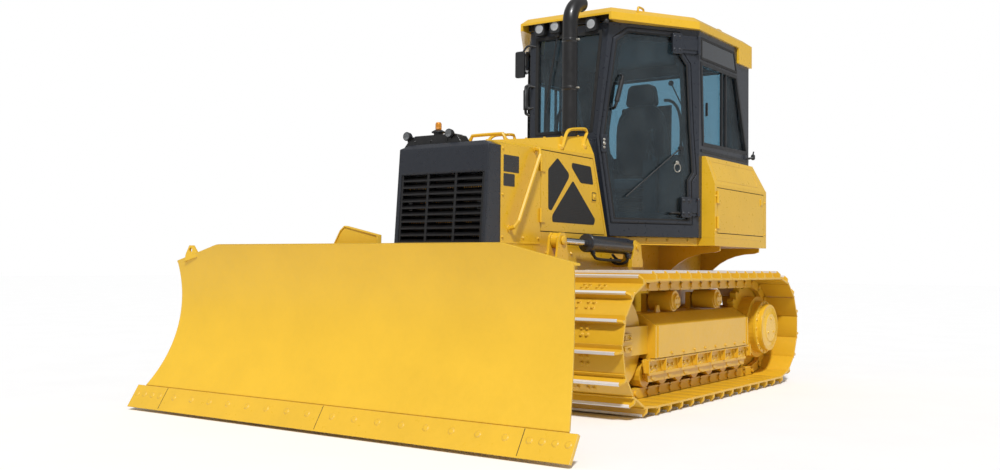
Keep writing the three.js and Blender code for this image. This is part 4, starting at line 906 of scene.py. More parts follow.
@dataclass
class TrackFrames(TrackPlaces):
    """Fittings of the two track frames: guards, caps, covers, hub and guide plates."""

    carriers: tuple[float, float] = (-1010, -290)
    carrier_z: float = 682

    def hub(self) -> Shape:
        """The final drive's hub cover with its ring of bolts."""
        shape = Shape()
        _low, high = in_mm("left_sprocket")
        face = high.y
        centre = Vector((self.sprocket_x, 0, self.wheel_z))
        profile = [(0.0, 206), (0.30, 206), (0.34, 182), (0.80, 180), (0.86, 168), (0.90, 120), (0.93, 112),
                   (1.0, 108)]
        shape.turning(centre + Y_AXIS * (face - 62), centre + Y_AXIS * (face + 9), profile, 48)
        shape.bolt_circle(centre + Y_AXIS * (face - 41), Y_AXIS, 192, range(0, 360, 20), 9, 7)
        return shape.bolt_circle(centre + Y_AXIS * (face + 8), Y_AXIS, 70, (30, 150, 270), 11, 6)

    def roller_guard(self) -> Shape:
        """The row of gussets and roller end caps under the frame's outer side."""
        shape = Shape()
        low, high = in_mm("left_roller_bank")
        out_y = high.y
        top = high.z - 4
        x0, x1 = low.x + 120, high.x - 120
        count = 7
        for i in range(count):
            x = x0 + (x1 - x0) * i / (count - 1)
            centre = Vector((x, 0, 214))
            shape.turning(centre + Y_AXIS * (out_y - 40), centre + Y_AXIS * (out_y + 6),
                          [(0, 46), (0.7, 46), (1, 34)], 24)
            shape.bolts([centre + Vector((dx, out_y + 1, 52)) for dx in (-34, 34)], Y_AXIS, 9, 7)
        for i in range(count + 1):
            x = x0 - (x1 - x0) / (count - 1) / 2 + (x1 - x0) * i / (count - 1)
            foot = top - 84
            gusset = [(x - 42, top), (x + 42, top), (x + 12, foot), (x - 12, foot)]
            shape.slab_y(gusset, out_y - 1, out_y + 9)
            rib = [(x - 5, top), (x + 5, top), (x + 5, foot), (x - 5, foot)]
            shape.slab_y(rib, out_y + 8, out_y + 34)
        shape.box((low.x + 40, out_y - 6, top - 104), (high.x - 40, out_y + 14, top - 84))
        return shape.box((low.x + 20, out_y - 6, top - 12), (high.x - 20, out_y + 30, top))

    def cover(self) -> Shape:
        """The bevelled cover's front plate, seams, lifting eyes and bolts."""
        shape = Shape()
        _low, high = in_mm("left_track_frame")
        face = 1012
        fold_z, top_z, bottom_z = 530, 600, 322
        fold_y = 902
        for x in (-1404, 120):
            shape.box((x, face - 4, bottom_z + 6), (x + 14, face + 7, fold_z))
            shape.prism([(0, 0), (14, 0), (14, 131), (0, 131)], 7, Vector((x, face, fold_z)), X_AXIS,
                        Vector((0, fold_y - face, top_z - fold_z)).normalized())
        shape.bolts([(x, face + 1, bottom_z + 24) for x in range(-1340, 100, 180)], Y_AXIS, 9, 6)
        for x in (-1180, -160):
            eye = rounded_outline([(-34, 0), (34, 0), (20, 52), (-20, 52)], 14)
            shape.prism(eye, 12, Vector((x, 872, top_z - 2)), X_AXIS, Z_AXIS)
        guide_x = high.x - 60
        shape.box((guide_x - 70, self.track_y + 118, self.wheel_z - 66),
                  (guide_x + 56, self.track_y + 136, self.wheel_z + 52))
        for dx in (-46, 30):
            for dz in (-42, 30):
                shape.bolt((guide_x + dx, self.track_y + 136, self.wheel_z + dz), Y_AXIS, 12, 9)
        for dz in (-10, 26):
            shape.box((guide_x - 60, self.track_y + 134, self.wheel_z + dz - 22),
                      (guide_x + 46, self.track_y + 146, self.wheel_z + dz - 12))
        return shape

    def carriers_caps(self) -> Shape:
        """Smooth carrier rollers with flanges and bolted end caps."""
        shape = Shape()
        for x in self.carriers:
            a = Vector((x, self.track_y - 84, self.carrier_z - 10))
            b = Vector((x, self.track_y + 112, self.carrier_z - 10))
            profile = [(0, 52), (0.02, 66), (0.86, 66), (0.87, 56), (0.92, 56), (0.93, 50), (1, 44)]
            shape.turning(a, b, profile, 36)
            shape.bolt_circle(b, Y_AXIS, 30, range(45, 360, 90), 7, 5)
        return shape

    def idler_face(self) -> Shape:
        """The idler's turned rim and hub."""
        shape = Shape()
        centre = Vector((self.idler_x, 0, self.wheel_z))
        for side in (-1, 1):
            y = self.track_y + side * 76
            shape.turning(centre + Y_AXIS * (y - side * 4), centre + Y_AXIS * (y + side * 7),
                          [(0, 296), (0.6, 296), (1.0, 290)], 56)
            shape.turning(centre + Y_AXIS * (y - side * 4), centre + Y_AXIS * (y + side * 15),
                          [(0, 130), (0.7, 126), (1.0, 112)], 40)
        return shape

    def build(self) -> None:
        """Builds every fitting on both sides."""
        build_pair(self.hub(), "hub_cover", YELLOW, bevel=2)
        build_pair(self.roller_guard(), "roller_guard", TRACK_YELLOW, bevel=1.5)
        build_pair(self.cover(), "frame_fittings", TRACK_YELLOW, bevel=1.5)
        build_pair(self.carriers_caps(), "carrier_rollers", TRACK_YELLOW, bevel=1.5)
        build_pair(self.idler_face(), "idler_face", TRACK_YELLOW, bevel=1.5)
        for part in ("track_frame", "roller_bank", "idler", "sprocket"):
            paint_pair(part, TRACK_YELLOW)


# ------------------------------------------------------------------ blade and push frame
@dataclass
class BladeDress:
    """The blade's smooth face, edge bolts and end plates."""

    bottom: tuple[float, float] = (2087, 146)
    top: tuple[float, float] = (1958, 1014)
    radius: float = 880
    rear_x: float = 1815
    rear_half: float = 1390
    flare: float = 0.47
    corner: tuple[float, float] = (1450, 916)
    peak: tuple[float, float] = (1035, 1018)
    edge_top: tuple[float, float] = (2101, 146)
    edge_tip: tuple[float, float] = (2181, 19)
    corner_x: float = 1926

    def curve(self, behind: float, count: int) -> list[Vector]:
        """Points of the moldboard's profile from bottom to top, at a distance behind its face."""
        a, b = Vector(self.bottom), Vector(self.top)
        chord = b - a
        rise = math.sqrt(self.radius ** 2 - (chord.length / 2) ** 2)
        along = chord.normalized()
        centre = (a + b) / 2 + Vector((along.y, -along.x)) * rise
        start = math.atan2(a.y - centre.y, a.x - centre.x) % (2 * math.pi)
        end = math.atan2(b.y - centre.y, b.x - centre.x) % (2 * math.pi)
        reach = self.radius + behind
        angles = [start + (end - start) * i / count for i in range(count + 1)]
        return [centre + Vector((math.cos(t), math.sin(t))) * reach for t in angles]

    def half_width(self, x: float, z: float) -> float:
        """Half the blade's width at a point of its profile, inside its ends and its sloped top corners."""
        end = self.rear_half + self.flare * (x - self.rear_x)
        if z <= self.corner[1]:
            return end
        share = (z - self.corner[1]) / (self.peak[1] - self.corner[1])
        return min(end, self.corner[0] + (self.peak[0] - self.corner[0]) * share)

    def face(self) -> Shape:
        """A smooth skin just proud of the faceted CAD moldboard."""
        rings = []
        for f, b in zip(self.curve(-2.0, 56), self.curve(5.0, 56)):
            half = self.half_width(f.x, f.y) - 1.0
            rings.append([Vector((f.x, half, f.y)), Vector((f.x, -half, f.y)),
                          Vector((b.x, -half, b.y)), Vector((b.x, half, b.y))])
        return Shape().rings(rings)

    def on_edge(self, down: float, back: float) -> Vector:
        """A point on the cutting edge's line, in (x, z)."""
        a, b = Vector(self.edge_top), Vector(self.edge_tip)
        along = (b - a).normalized()
        return a + along * down + Vector((along.y, -along.x)) * back

    def edge_bolts(self) -> Shape:
        """Flush plough bolts along the cutting edge and its end bits."""
        shape = Shape()
        out2 = (self.on_edge(0, -1) - self.on_edge(0, 0)).normalized()
        out = Vector((out2.x, 0, out2.y))
        places = [s * (90 + 158 * i) for s in (-1, 1) for i in range(8)]
        places += [s * (1330 + 70 * i) for s in (-1, 1) for i in range(4)]
        for y in places:
            spot = self.on_edge(58, 0)
            seat = Vector((spot.x, y, spot.y))
            shape.turning(seat - out * 3, seat + out * 3.5, [(0, 19), (0.5, 19), (0.75, 15), (1, 14)], 20)
        return shape

    def edge_seams(self) -> Shape:
        """Dark joints between the edge's four lengths."""
        shape = Shape()
        for y in (-1288, 0, 1288):
            a, b = self.on_edge(2, -0.6), self.on_edge(140, -0.6)
            c, d = self.on_edge(140, 2), self.on_edge(2, 2)
            shape.slab_y([(p.x, p.y) for p in (a, b, c, d)], y - 1.8, y + 1.8)
        return shape

    def end_plates(self) -> Shape:
        """The stiffening plates that close the blade's two ends."""
        front, back = self.curve(2.0, 30), self.curve(54.0, 30)
        rings = []
        for f, b in list(zip(front, back))[1:-4]:
            front_half = self.half_width(f.x, f.y) - 1.5
            back_half = self.half_width(b.x, b.y) - 1.5
            rings.append([Vector((f.x, front_half, f.y)), Vector((b.x, back_half, b.y)),
                          Vector((b.x, back_half - 14, b.y)), Vector((f.x, front_half - 14, f.y))])
        return Shape().rings(rings).both()

    def top_fold(self) -> Shape:
        """The folded flange behind the top edge and its bevelled corners."""
        rings = []
        corner = (*self.corner, self.corner_x)
        peak = (self.peak[0], self.peak[1] - 3, self.top[0])
        for y, z, x in ((-corner[0], *corner[1:]), (-peak[0], *peak[1:]), peak, corner):
            rings.append([Vector((x - 48, y, z - 12)), Vector((x - 4, y, z - 12)),
                          Vector((x - 2, y, z)), Vector((x - 48, y, z))])
        return Shape().rings(rings)

    def build(self) -> None:
        """Builds the blade's pieces."""
        self.face().build("moldboard_face", BLADE_YELLOW, Body.BLADE.value, bevel=0.8)
        self.edge_bolts().build("edge_bolts", EDGE_YELLOW, Body.BLADE.value, bevel=0)
        self.edge_seams().build("edge_seams", RUBBER, Body.BLADE.value, bevel=0)
        self.end_plates().build("blade_end_plates", BLADE_YELLOW, Body.BLADE.value, bevel=2)
        self.top_fold().build("blade_top_flange", BLADE_YELLOW, Body.BLADE.value, bevel=2)
        paint_node("blade", BLADE_YELLOW)
        paint_node("cutting_edge", EDGE_YELLOW)


@dataclass
class PushGear:
    """Pin caps, grease points and covers on the push frame and the knuckle."""

    tower_pin: tuple[float, float] = (480, 1068)
    pivot: tuple[float, float] = (-100, 410)
    kingpin_x: float = 1450

    def frame_fittings(self) -> Shape:
        """Pin caps and bolts on the push frame."""
        shape = Shape()
        x, z = self.tower_pin
        for y, way in ((515, 1), (426, -1)):
            a, b = Vector((x, y, z)), Vector((x, y + way * 12, z))
            shape.turning(a, b, [(0, 30), (0.6, 30), (1, 22)], 28)
        px, pz = self.pivot
        shape.turning((px, 508, pz), (px, 519, pz), [(0, 62), (0.6, 62), (1, 56)], 36)
        shape.bolt_circle(Vector((px, 517, pz)), Y_AXIS, 44, range(45, 360, 90), 8, 5)
        shape.turning((1000, 440, 586), (1000, 440, 596), [(0, 28), (0.6, 28), (1, 20)], 24)
        return shape.both()

    def knuckle_cover(self) -> Shape:
        """The folded cover round the tilt cylinder's tower, with its bolts."""
        shape = Shape()
        rim = [(-226, 930), (-226, 1017), (-178, 1096), (-144, 1122.5), (107, 1068.5), (107, 930)]
        inner = [(-218, 930), (-218, 1014), (-171, 1090), (-142, 1114), (99, 1062), (99, 930)]
        rings = []
        for (y0, z0), (y1, z1) in zip(rim, inner):
            rings.append([Vector((1772, y0, z0)), Vector((1806, y0, z0)),
                          Vector((1806, y1, z1)), Vector((1772, y1, z1))])
        shape.rings(rings)
        shape.bolts([(1799, y, z) for y, z in ((-190, 985), (60, 985), (60, 640), (-60, 640))], X_AXIS, 10, 6)
        shape.turning((self.kingpin_x, 0, 514), (self.kingpin_x, 0, 530), [(0, 62), (0.6, 62), (1, 52)], 40)
        return shape.bolt_circle(Vector((self.kingpin_x, 0, 516)), Z_AXIS, 76, range(0, 360, 60), 8, 6)

    def build(self) -> None:
        """Builds the fittings."""
        self.frame_fittings().build("push_frame_caps", YELLOW, Body.PUSH_FRAME.value)
        self.knuckle_cover().build("knuckle_cover", BLADE_YELLOW, Body.KNUCKLE.value)
        paint_node("push_frame", YELLOW)
        paint_node("blade_knuckle", BLADE_YELLOW)


@dataclass
class CylinderDress:
    """Smooth sleeves, glands, ports and rods over one hydraulic cylinder."""

    name: str
    barrel_body: str
    rod_body: str
    start: Vector
    end: Vector
    barrel_radius: float
    barrel_start: float
    barrel_end: float
    rod_radius: float
    rod_tail: float
    eye_radius: float
    port_way: Vector

    def build(self) -> None:
        """Builds the sleeve with its gland and ports, and the rod."""
        axis = (self.end - self.start).normalized()
        length = (self.end - self.start).length

        def at(distance: float) -> Vector:
            """The point on the cylinder's line at a distance from its start."""
            return self.start + axis * distance

        way = (self.port_way - axis * self.port_way.dot(axis)).normalized()
        sleeve = Shape()
        r = self.barrel_radius
        span = self.barrel_end - self.barrel_start
        profile = [(0, r * 0.8), (10 / span, r + 1), (1 - 42 / span, r + 1), (1 - 40 / span, r + 6.5),
                   (1 - 4 / span, r + 6.5), (1, r + 1)]
        sleeve.turning(at(self.barrel_start - 1), at(self.barrel_end + 1.5), profile, 48)
        for s in (self.barrel_start + 30, self.barrel_end - 62):
            sleeve.round(at(s) + way * (r - 4), at(s) + way * (r + 20), 17, sides=20)
            sleeve.round(at(s) + way * (r + 18), at(s) + way * (r + 30), 13, sides=6)
        sleeve.build(f"{self.name}_sleeve", SLATE, self.barrel_body, bevel=1.2)
        rod = Shape()
        tail = max(self.rod_tail, self.barrel_start + 40)
        rod.round(at(tail), at(length - self.eye_radius * 0.8), self.rod_radius + 0.35, sides=40)
        rod.build(f"{self.name}_chrome", CHROME, self.rod_body, bevel=0)
        eye = Shape()
        eye.turning(at(length - self.eye_radius - 26), at(length - self.eye_radius + 8),
                    [(0, self.rod_radius + 3), (0.3, self.rod_radius + 8), (1, self.rod_radius + 10)], 32)
        eye.build(f"{self.name}_rod_eye", YELLOW, self.rod_body, bevel=1)


def cylinders() -> list[CylinderDress]:
    """Every hydraulic cylinder's dress, from the sizes that its CAD solids have."""
    made = []
    for side in each_side():
        g = side.value
        label = side.label
        made.append(CylinderDress(
            f"{label}_lift", f"{label}_lift_barrel", f"{label}_lift_rod",
            Vector((-560, g * 470, 1046)), Vector((480, g * 470, 1068)),
            56, 84, 670, 24, 380, 50, Vector((0, g * 0.3, -1))))
        made.append(CylinderDress(
            f"{label}_angle", f"{label}_angle_barrel", f"{label}_angle_rod",
            Vector((1000, g * 440, 548)), Vector((1740, g * 330, 548)),
            40, 80, 500, 20, 305, 46, Vector((0, 0, 1))))
    made.append(CylinderDress(
        "tilt", "tilt_barrel", "tilt_rod", Vector((1720, -100, 985)), Vector((1720, 580, 900)),
        42, 76, 430, 20, 210, 42, Vector((0, 0, -1))))
    return made


def build_cylinders() -> None:
    """Dresses every cylinder, and paints the CAD solids under the dress."""
    for cylinder in cylinders():
        cylinder.build()
        paint_node(cylinder.barrel_body, SLATE)
        paint_node(cylinder.rod_body, YELLOW)


# ------------------------------------------------------------------ hood and radiator
@dataclass
class HoodDress:
    """The hood's mesh panels, rails, plates, latches and seams."""

    face_y: float = 350
    latch_at: tuple[float, float] = (-203, 1392)
    door_front: float = 490

    def mesh_panels(self) -> Shape:
        """Three dark panels on the side door, just proud of it."""
        shape = Shape()
        panels = [
            [(288, 1622), (140, 1530), (140, 1500), (362, 1268), (400, 1276), (404, 1538)],
            [(98, 1606), (-158, 1600), (-196, 1476), (-20, 1476), (102, 1574)],
            [(85, 1484), (-226, 1232), (-206, 1194), (349, 1194), (349, 1239)],
        ]
        for panel in panels:
            shape.slab_y(rounded_outline(panel, 16), self.face_y - 3, self.face_y + 2)
        return shape

    def latch(self) -> Shape:
        """The door's recessed square latch."""
        shape = Shape()
        x, z = self.latch_at
        shape.slab_y(soft_square(x, z, 37, 37, 8), self.face_y - 2, self.face_y + 3)
        shape.slab_y(soft_square(x, z, 23, 23, 6), self.face_y, self.face_y + 7)
        return shape.round((x, self.face_y, z), (x, self.face_y + 12, z), 12, sides=20)

    def latch_gap(self) -> Shape:
        """The dark gap round the latch's paddle."""
        return Shape().slab_y(soft_square(*self.latch_at, 30, 30, 7), self.face_y - 1, self.face_y + 4)

    def seams(self) -> Shape:
        """Dark shut lines round the side door."""
        shape = Shape()
        low, high = in_mm("left_hood_door")
        front, top, bottom = self.door_front, high.z, low.z
        near, far = self.face_y - 12, self.face_y - 4
        shape.box((front + 0.5, near, bottom - 5), (front + 5.5, far, top + 5))
        shape.box((low.x + 196, near, top + 0.5), (front + 5.5, far, top + 5.5))
        return shape.box((low.x + 10, near, bottom - 5.5), (front + 5.5, far, bottom - 0.5))

    def plates(self) -> Shape:
        """Blank identification plates on the front panel."""
        shape = Shape()
        for front, rear, bottom, top in ((923, 752, 1482, 1587), (923, 800, 1394, 1472)):
            outline = rounded_outline(rectangle((rear, bottom), (front, top)), 7)
            shape.slab_y(outline, self.face_y - 1, self.face_y + 1.6)
        return shape

    def fittings(self) -> Shape:
        """Panel bolts, a bead along the front panel and the rail feet."""
        shape = Shape()
        places = ((930, 1625), (930, 1340), (930, 1080), (520, 1080), (700, 1080))
        shape.bolts([(x, self.face_y, z) for x, z in places], Y_AXIS, 8, 5)
        for x, z in ((562, 1652), (855, 1133)):
            shape.round((x, self.face_y - 2, z), (x, self.face_y + 6, z), 24, sides=24)
        bead = rounded_outline([(940, 1040), (500, 1040), (500, 1052), (940, 1052)], 4)
        return shape.slab_y(bead, self.face_y - 2, self.face_y + 3)

    def rail_pads(self) -> Shape:
        """Bolted foot pads of the hood's two grab loops, and the ribs pressed in beside them."""
        shape = Shape()
        for x, y, z in ((195, 330, 1712), (-115, 330, 1748)):
            shape.turning((x, y - 20, z - 16), (x, y - 8, z + 10), [(0, 26), (0.7, 26), (1, 18)], 24)
        rise = Vector((1158, 0, -149)).normalized()
        for x, z in ((-60, 1805), (60, 1789)):
            shape.tube([Vector((x, 150, z)) + rise * length for length in (0, 52, 104)], 6, sides=10)
        return shape.both()

    def engine_top(self) -> Shape:
        """The raised seam down the middle of the hood, with its bolts."""
        shape = Shape()
        _low, high = in_mm("hood")
        front, rear = Vector((high.x - 24, 0, 1679)), Vector((-190, 0, 1824))
        for y in (-232, 232):
            for i in range(6):
                seat = front.lerp(rear, i / 5) + Y_AXIS * y * 0.98
                shape.bolt(seat, Vector((0.1, 0, 0.99)), 8, 5)
        return shape

    def build(self) -> None:
        """Builds the hood's pieces on both sides."""
        door = body_of("hood_door")
        build_pair(self.mesh_panels(), "door_mesh", MESH, door, bevel=0.8)
        build_pair(self.latch(), "door_latch", YELLOW, door)
        build_pair(self.latch_gap(), "door_latch_gap", RUBBER, door, bevel=0.5)
        build_pair(self.seams(), "door_seam", RUBBER, bevel=0)
        self.plates().build("blank_plates", PLATE, bevel=0.5)
        build_pair(self.fittings(), "hood_fittings", YELLOW)
        self.rail_pads().build("hood_rail_pads", YELLOW, bevel=1)
        self.engine_top().build("hood_bolts", YELLOW, bevel=0)
        paint_node("hood", YELLOW)
        paint_pair("hood_door", YELLOW)


@dataclass
class RadiatorDress:
    """The radiator housing's core, catches, lamp box, lamps and beacon."""

    lamp_ys: tuple[float, float] = (-332, 6)
    lamp_z: float = 1727
    beacon_x: float = 958
    beacon_y: float = -130

    def on_beacon(self, z: float) -> Point:
        """The point at a height on the beacon's axis."""
        return self.beacon_x, self.beacon_y, z

    def core(self) -> Shape:
        """The finned core seen between the louvres."""
        return Shape().box((1014.5, -322, 1041), (1022, 322, 1468))

    def bars(self) -> Shape:
        """Catch boxes and fine horizontal wires in front of the core."""
        shape = Shape()
        for y in (-268, 268):
            shape.box((1040, y - 15, 1236), (1064, y + 15, 1322))
            shape.turning((1062, y, 1262), (1071, y, 1262), [(0, 11), (0.6, 11), (1, 7)], 18)
        for i in range(27):
            z = 1048 + i * 15.6
            shape.box((1024, -320, z), (1027, 320, z + 3))
        return shape

    def lamp_box(self) -> Shape:
        """The black box on top of the housing."""
        shape = Shape()
        shape.slab_x(rounded_outline([(-372, 1652), (100, 1652), (52, 1722), (-310, 1722)], 12), 905, 1010)
        shape.box((915, -290, 1718), (1000, 30, 1728))
        return shape.bolts([(1009, y, 1690) for y in (-280, -150, -20)], X_AXIS, 7, 5)

    def lamp_shells(self) -> Shape:
        """Round shells and brackets of the two front lamps, and the beacon's base."""
        shape = Shape()
        z = self.lamp_z
        for y in self.lamp_ys:
            shape.turning((985, y, z), (1035, y, z), [(0, 14), (0.4, 26), (0.9, 29), (1, 27)], 28)
            shape.box((990, y - 8, 1690), (1012, y + 8, 1712))
        shape.round(self.on_beacon(1722), self.on_beacon(1748), 30, sides=24)
        return shape.turning(self.on_beacon(1744), self.on_beacon(1764), [(0, 44), (0.4, 44), (1, 22)], 24)

    def lenses(self) -> Shape:
        """The two lamp lenses."""
        shape = Shape()
        for y in self.lamp_ys:
            shape.turning((1033, y, self.lamp_z), (1039, y, self.lamp_z), [(0, 24), (0.6, 23), (1, 17)], 28)
        return shape

    def beacon(self) -> Shape:
        """The amber beacon."""
        cover = [(0, 17), (0.1, 20), (0.8, 20), (1, 14)]
        return Shape().turning(self.on_beacon(1764), self.on_beacon(1812), cover, 24)

    def build(self) -> None:
        """Builds the housing's pieces."""
        self.core().build("radiator_face", CORE, bevel=0)
        self.bars().build("radiator_wires", BLACK, bevel=0.6)
        self.lamp_box().build("lamp_box", BLACK, bevel=2)
        self.lamp_shells().build("front_lamp_shells", PLASTIC, bevel=1)
        self.lenses().build("front_lamp_lenses", DARK_LENS, bevel=0)
        self.beacon().build("beacon", AMBER, bevel=0)
        paint_node("radiator_housing", HOUSING)
        paint_node("grille", BLACK)


@dataclass
class Exhaust:
    """The smooth exhaust stack with its clamp and open mouth."""

    x: float = -110
    y: float = 205
    radius: float = 53
    bend_radius: float = 160
    bend_z: float = 2622
    bend_angle: float = 1.54

    def build(self) -> None:
        """Builds the stack in place of the faceted CAD one."""
        path = [Vector((self.x, self.y, 1352))]
        path += [Vector((self.x, self.y, z)) for z in range(1700, int(self.bend_z), 160)]
        path.append(Vector((self.x, self.y, self.bend_z)))
        count = 14
        for i in range(1, count + 1):
            angle = i / count * self.bend_angle
            path.append(Vector((self.x - self.bend_radius * (1 - math.cos(angle)), self.y,
                                self.bend_z + self.bend_radius * math.sin(angle))))
        outer, inner = [], []
        for point, tangent in zip(path, tangents_of(path)):
            v = tangent.cross(Y_AXIS)
            spokes = [Y_AXIS * math.cos(a) + v * math.sin(a) for a in turns(40)]
            outer.append([point + s * (self.radius + 0.4) for s in spokes])
            inner.append([point + s * (self.radius - 5) for s in spokes])
        shape = Shape()
        rings = outer + list(reversed(inner))
        shape.rings(rings, loop=True)
        band = [(0, 54), (0.2, 58), (0.8, 58), (1, 54)]
        for z in (1835, 2140, 2480):
            shape.turning((self.x, self.y, z), (self.x, self.y, z + 26), band, 40)
        piece = shape.build("exhaust_pipe", BLACK, bevel=0)
        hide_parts("exhaust_stack")
        clamp = Shape()
        for z in (2150, 2490):
            clamp.box((self.x - 12, self.y + 54, z), (self.x + 12, self.y + 74, z + 12))
            clamp.bolt((self.x, self.y + 70, z + 6), Y_AXIS, 6, 5)
        clamp.build("exhaust_clamps", ZINC, bevel=0.8)


# ------------------------------------------------------------------ cab
class SlantedWall:
    """The cab's slanted wall: a plane with its own directions along, out and up."""

    def __init__(self, corner_x: float = -1065, half_width: float = 765, slope: float = 0.688) -> None:
        """Sets up the wall's directions.

        Args:
            corner_x: Where it meets the straight side wall.
            half_width: The straight wall's distance from the middle.
            slope: Its sideways run for each millimetre back.
        """
        run = math.hypot(1, slope)
        self.back = Vector((-1 / run, slope / run, 0))
        self.out = Vector((slope / run, 1 / run, 0))
        self.start = Vector((-380, half_width - (-380 - corner_x) * slope, 0))

    def at(self, s: float, out: float, z: float) -> Vector:
        """The point s along the wall, out from its face and at height z."""
        return self.start + self.back * s + self.out * out + Z_AXIS * z

    def slab(self, shape: Shape, outline: Sequence[Point], low: float, high: float) -> Shape:
        """Adds an outline of (s, z) points between two distances out from the face."""
        return shape.prism(outline, high - low, self.start + self.out * low, self.back, Z_AXIS)


@dataclass
class CabDress:
    """Seals, hinges, wipers, lamps, mirrors and handles of the cab."""

    wall: SlantedWall = field(default_factory=SlantedWall)
    door: tuple[tuple[float, float], ...] = (
        (100, 1222), (771.5, 1222), (764.5, 1540), (806.5, 1600), (780.5, 1930), (754.5, 2420), (700.5, 2490),
        (686.5, 2620), (656.5, 2650), (223, 2650), (107.6, 2565), (5.8, 1834))
    hinge_s: float = 815.5
    hinge_out: float = 20
    hinges: tuple[tuple[float, float], ...] = ((1348, 762.5), (2564, 681.5))
    screen: tuple[tuple[float, float], ...] = ((-236, 1885), (236, 1885), (276, 2615), (-276, 2615))

    @staticmethod
    def shrunk(outline: Sequence[Point], distance: float) -> list[tuple[float, float]]:
        """An anticlockwise outline with each edge moved in by a distance."""
        count = len(outline)
        points = []
        for i in range(count):
            a, b, c = Vector(outline[i - 1]), Vector(outline[i]), Vector(outline[(i + 1) % count])
            e, f = (b - a).normalized(), (c - b).normalized()
            n1, n2 = Vector((-e.y, e.x)), Vector((-f.y, f.x))
            p, q = b + n1 * distance, b + n2 * distance
            cross = e.x * f.y - e.y * f.x
            t = ((q - p).x * f.y - (q - p).y * f.x) / cross
            points.append((p + e * t)[:])
        return points

    @staticmethod
    def ring_frame(outline: Sequence[Point], outer: float, inner: float,
                   place: Callable[[Point, int], Vector]) -> Shape:
        """A closed frame that follows an outline.

        Args:
            outline: The anticlockwise outline.
            outer: How far in from it the frame's outer edge lies.
            inner: How far in from it the frame's inner edge lies.
            place: Puts an outline point at each of the section's four corners: low and high
                on the outer edge, then high and low on the inner one.

        Returns:
            The frame.
        """
        rings = []
        for o, i in zip(CabDress.shrunk(outline, outer), CabDress.shrunk(outline, inner)):
            rings.append([place(o, 0), place(o, 1), place(i, 2), place(i, 3)])
        return Shape().rings(rings, loop=True)

    def door_strip(self, outer: float, inner: float, low: float, high: float) -> Shape:
        """A closed strip round the door, between two distances out from the slanted wall."""
        levels = (low, high, high, low)
        return self.ring_frame(self.door, outer, inner, lambda p, k: self.wall.at(p[0], levels[k], p[1]))

    def door_seal(self) -> Shape:
        """The rubber round the door's glass."""
        return self.door_strip(26, 37, -8, 1.5)

    def shut_line(self) -> Shape:
        """The dark gasket between the door and the cab frame."""
        return self.door_strip(-5.6, -0.6, -30, -8)

    def door_bead(self) -> Shape:
        """The pressed bead round the door's frame."""
        return self.door_strip(6, 20, -2, 3.5)

    def glass_band(self) -> Shape:
        """The black band printed round the door's glass, behind the pane."""
        return self.door_strip(34, 80, -28, -25)

    def hinge_boxes(self) -> Shape:
        """The big bolted hinge covers on the door's rear edge."""
        shape = Shape()
        for z, edge_s in self.hinges:
            corners = rectangle((edge_s - 92, z - 76), (edge_s - 8, z + 76))
            self.wall.slab(shape, rounded_outline(corners, 14), 1, 26)
            seats = [self.wall.at(edge_s + ds, 26, z + dz) for ds in (-72, -28) for dz in (-48, 48)]
            shape.bolts(seats, self.wall.out, 9, 6)
            self.wall.slab(shape, rectangle((edge_s - 20, z - 40), (self.hinge_s - 4, z + 40)), 13.5, 22)
            ends = [self.wall.at(self.hinge_s, self.hinge_out, z + dz) for dz in (-70, 70)]
            shape.turning(ends[0], ends[1], [(0, 10), (0.03, 14), (0.97, 14), (1, 10)], 28)
        return shape

    def door_handle(self) -> Shape:
        """The rear grab handle, the latch and the front grab bar with its pads."""
        shape = Shape()
        a, b = self.wall.at(165, 36, 2262), self.wall.at(117, 36, 2082)
        shape.tube([self.wall.at(169, 0, 2296), self.wall.at(168, 30, 2282), a, a.lerp(b, 0.5), b,
                    self.wall.at(112, 30, 2062), self.wall.at(110, 0, 2048)], 11, sides=12)
        shape.round(a.lerp(b, 0.08), a.lerp(b, 0.92), 18, sides=20)
        shape.tube([self.wall.at(580, 0, 1296), self.wall.at(582, 26, 1302), self.wall.at(616, 34, 1306),
                    self.wall.at(650, 26, 1302), self.wall.at(652, 0, 1296)], 8, sides=10)
        return shape

    def door_lock(self) -> Shape:
        """The round lock plate, key loop and the latch at the door's front edge."""
        shape = Shape()
        ring = []
        for i in range(17):
            angle = 2 * math.pi * i / 16
            ring.append(self.wall.at(642 + 26 * math.cos(angle), 8, 1640 + 32 * math.sin(angle)))
        shape.tube(ring, 3.2, sides=8, steps=2)
        button = [(0, 15), (0.7, 15), (1, 11)]
        shape.turning(self.wall.at(642, -2, 1678), self.wall.at(642, 12, 1678), button, 20)
        for z in (1764, 1820):
            shape.bolt(self.wall.at(36, 10, z), self.wall.out, 7, 5)
        knob = [(0, 12), (0.7, 12), (1, 8)]
        return shape.turning(self.wall.at(36, 8, 1792), self.wall.at(36, 18, 1792), knob, 20)

    def door_catch(self) -> Shape:
        """The soft-cornered plate round the catch at the door's front edge."""
        shape = Shape()
        plate = rounded_outline(rectangle((12, 1728), (60, 1856)), 16)
        return self.wall.slab(shape, plate, 0, 10)

    def door_wiper(self) -> Shape:
        """The wiper on the door's glass, with its motor cover."""
        shape = Shape()
        a, b = self.wall.at(670, 6, 1787), self.wall.at(214, 8, 1412)
        shape.round(a, b, 5.5, sides=10)
        middle = a.lerp(b, 0.6)
        along = (b - a).normalized()
        shape.round(middle - along * 190, middle + along * 190, 4.2, sides=8)
        return shape.round(self.wall.at(670, -4, 1787), self.wall.at(670, 18, 1787), 17, sides=20)

    @staticmethod
    def front(z: float) -> float:
        """X of the cab's front face at a height above its belt line."""
        return -365 - 78 * (z - 1834) / 846

    def windscreen_trim(self) -> Shape:
        """Black rubber round the windscreen."""
        levels = (-4, 5, 5, -18)
        return self.ring_frame(self.screen, -10, 14,
                               lambda p, k: Vector((self.front(p[1]) + levels[k], *p)))

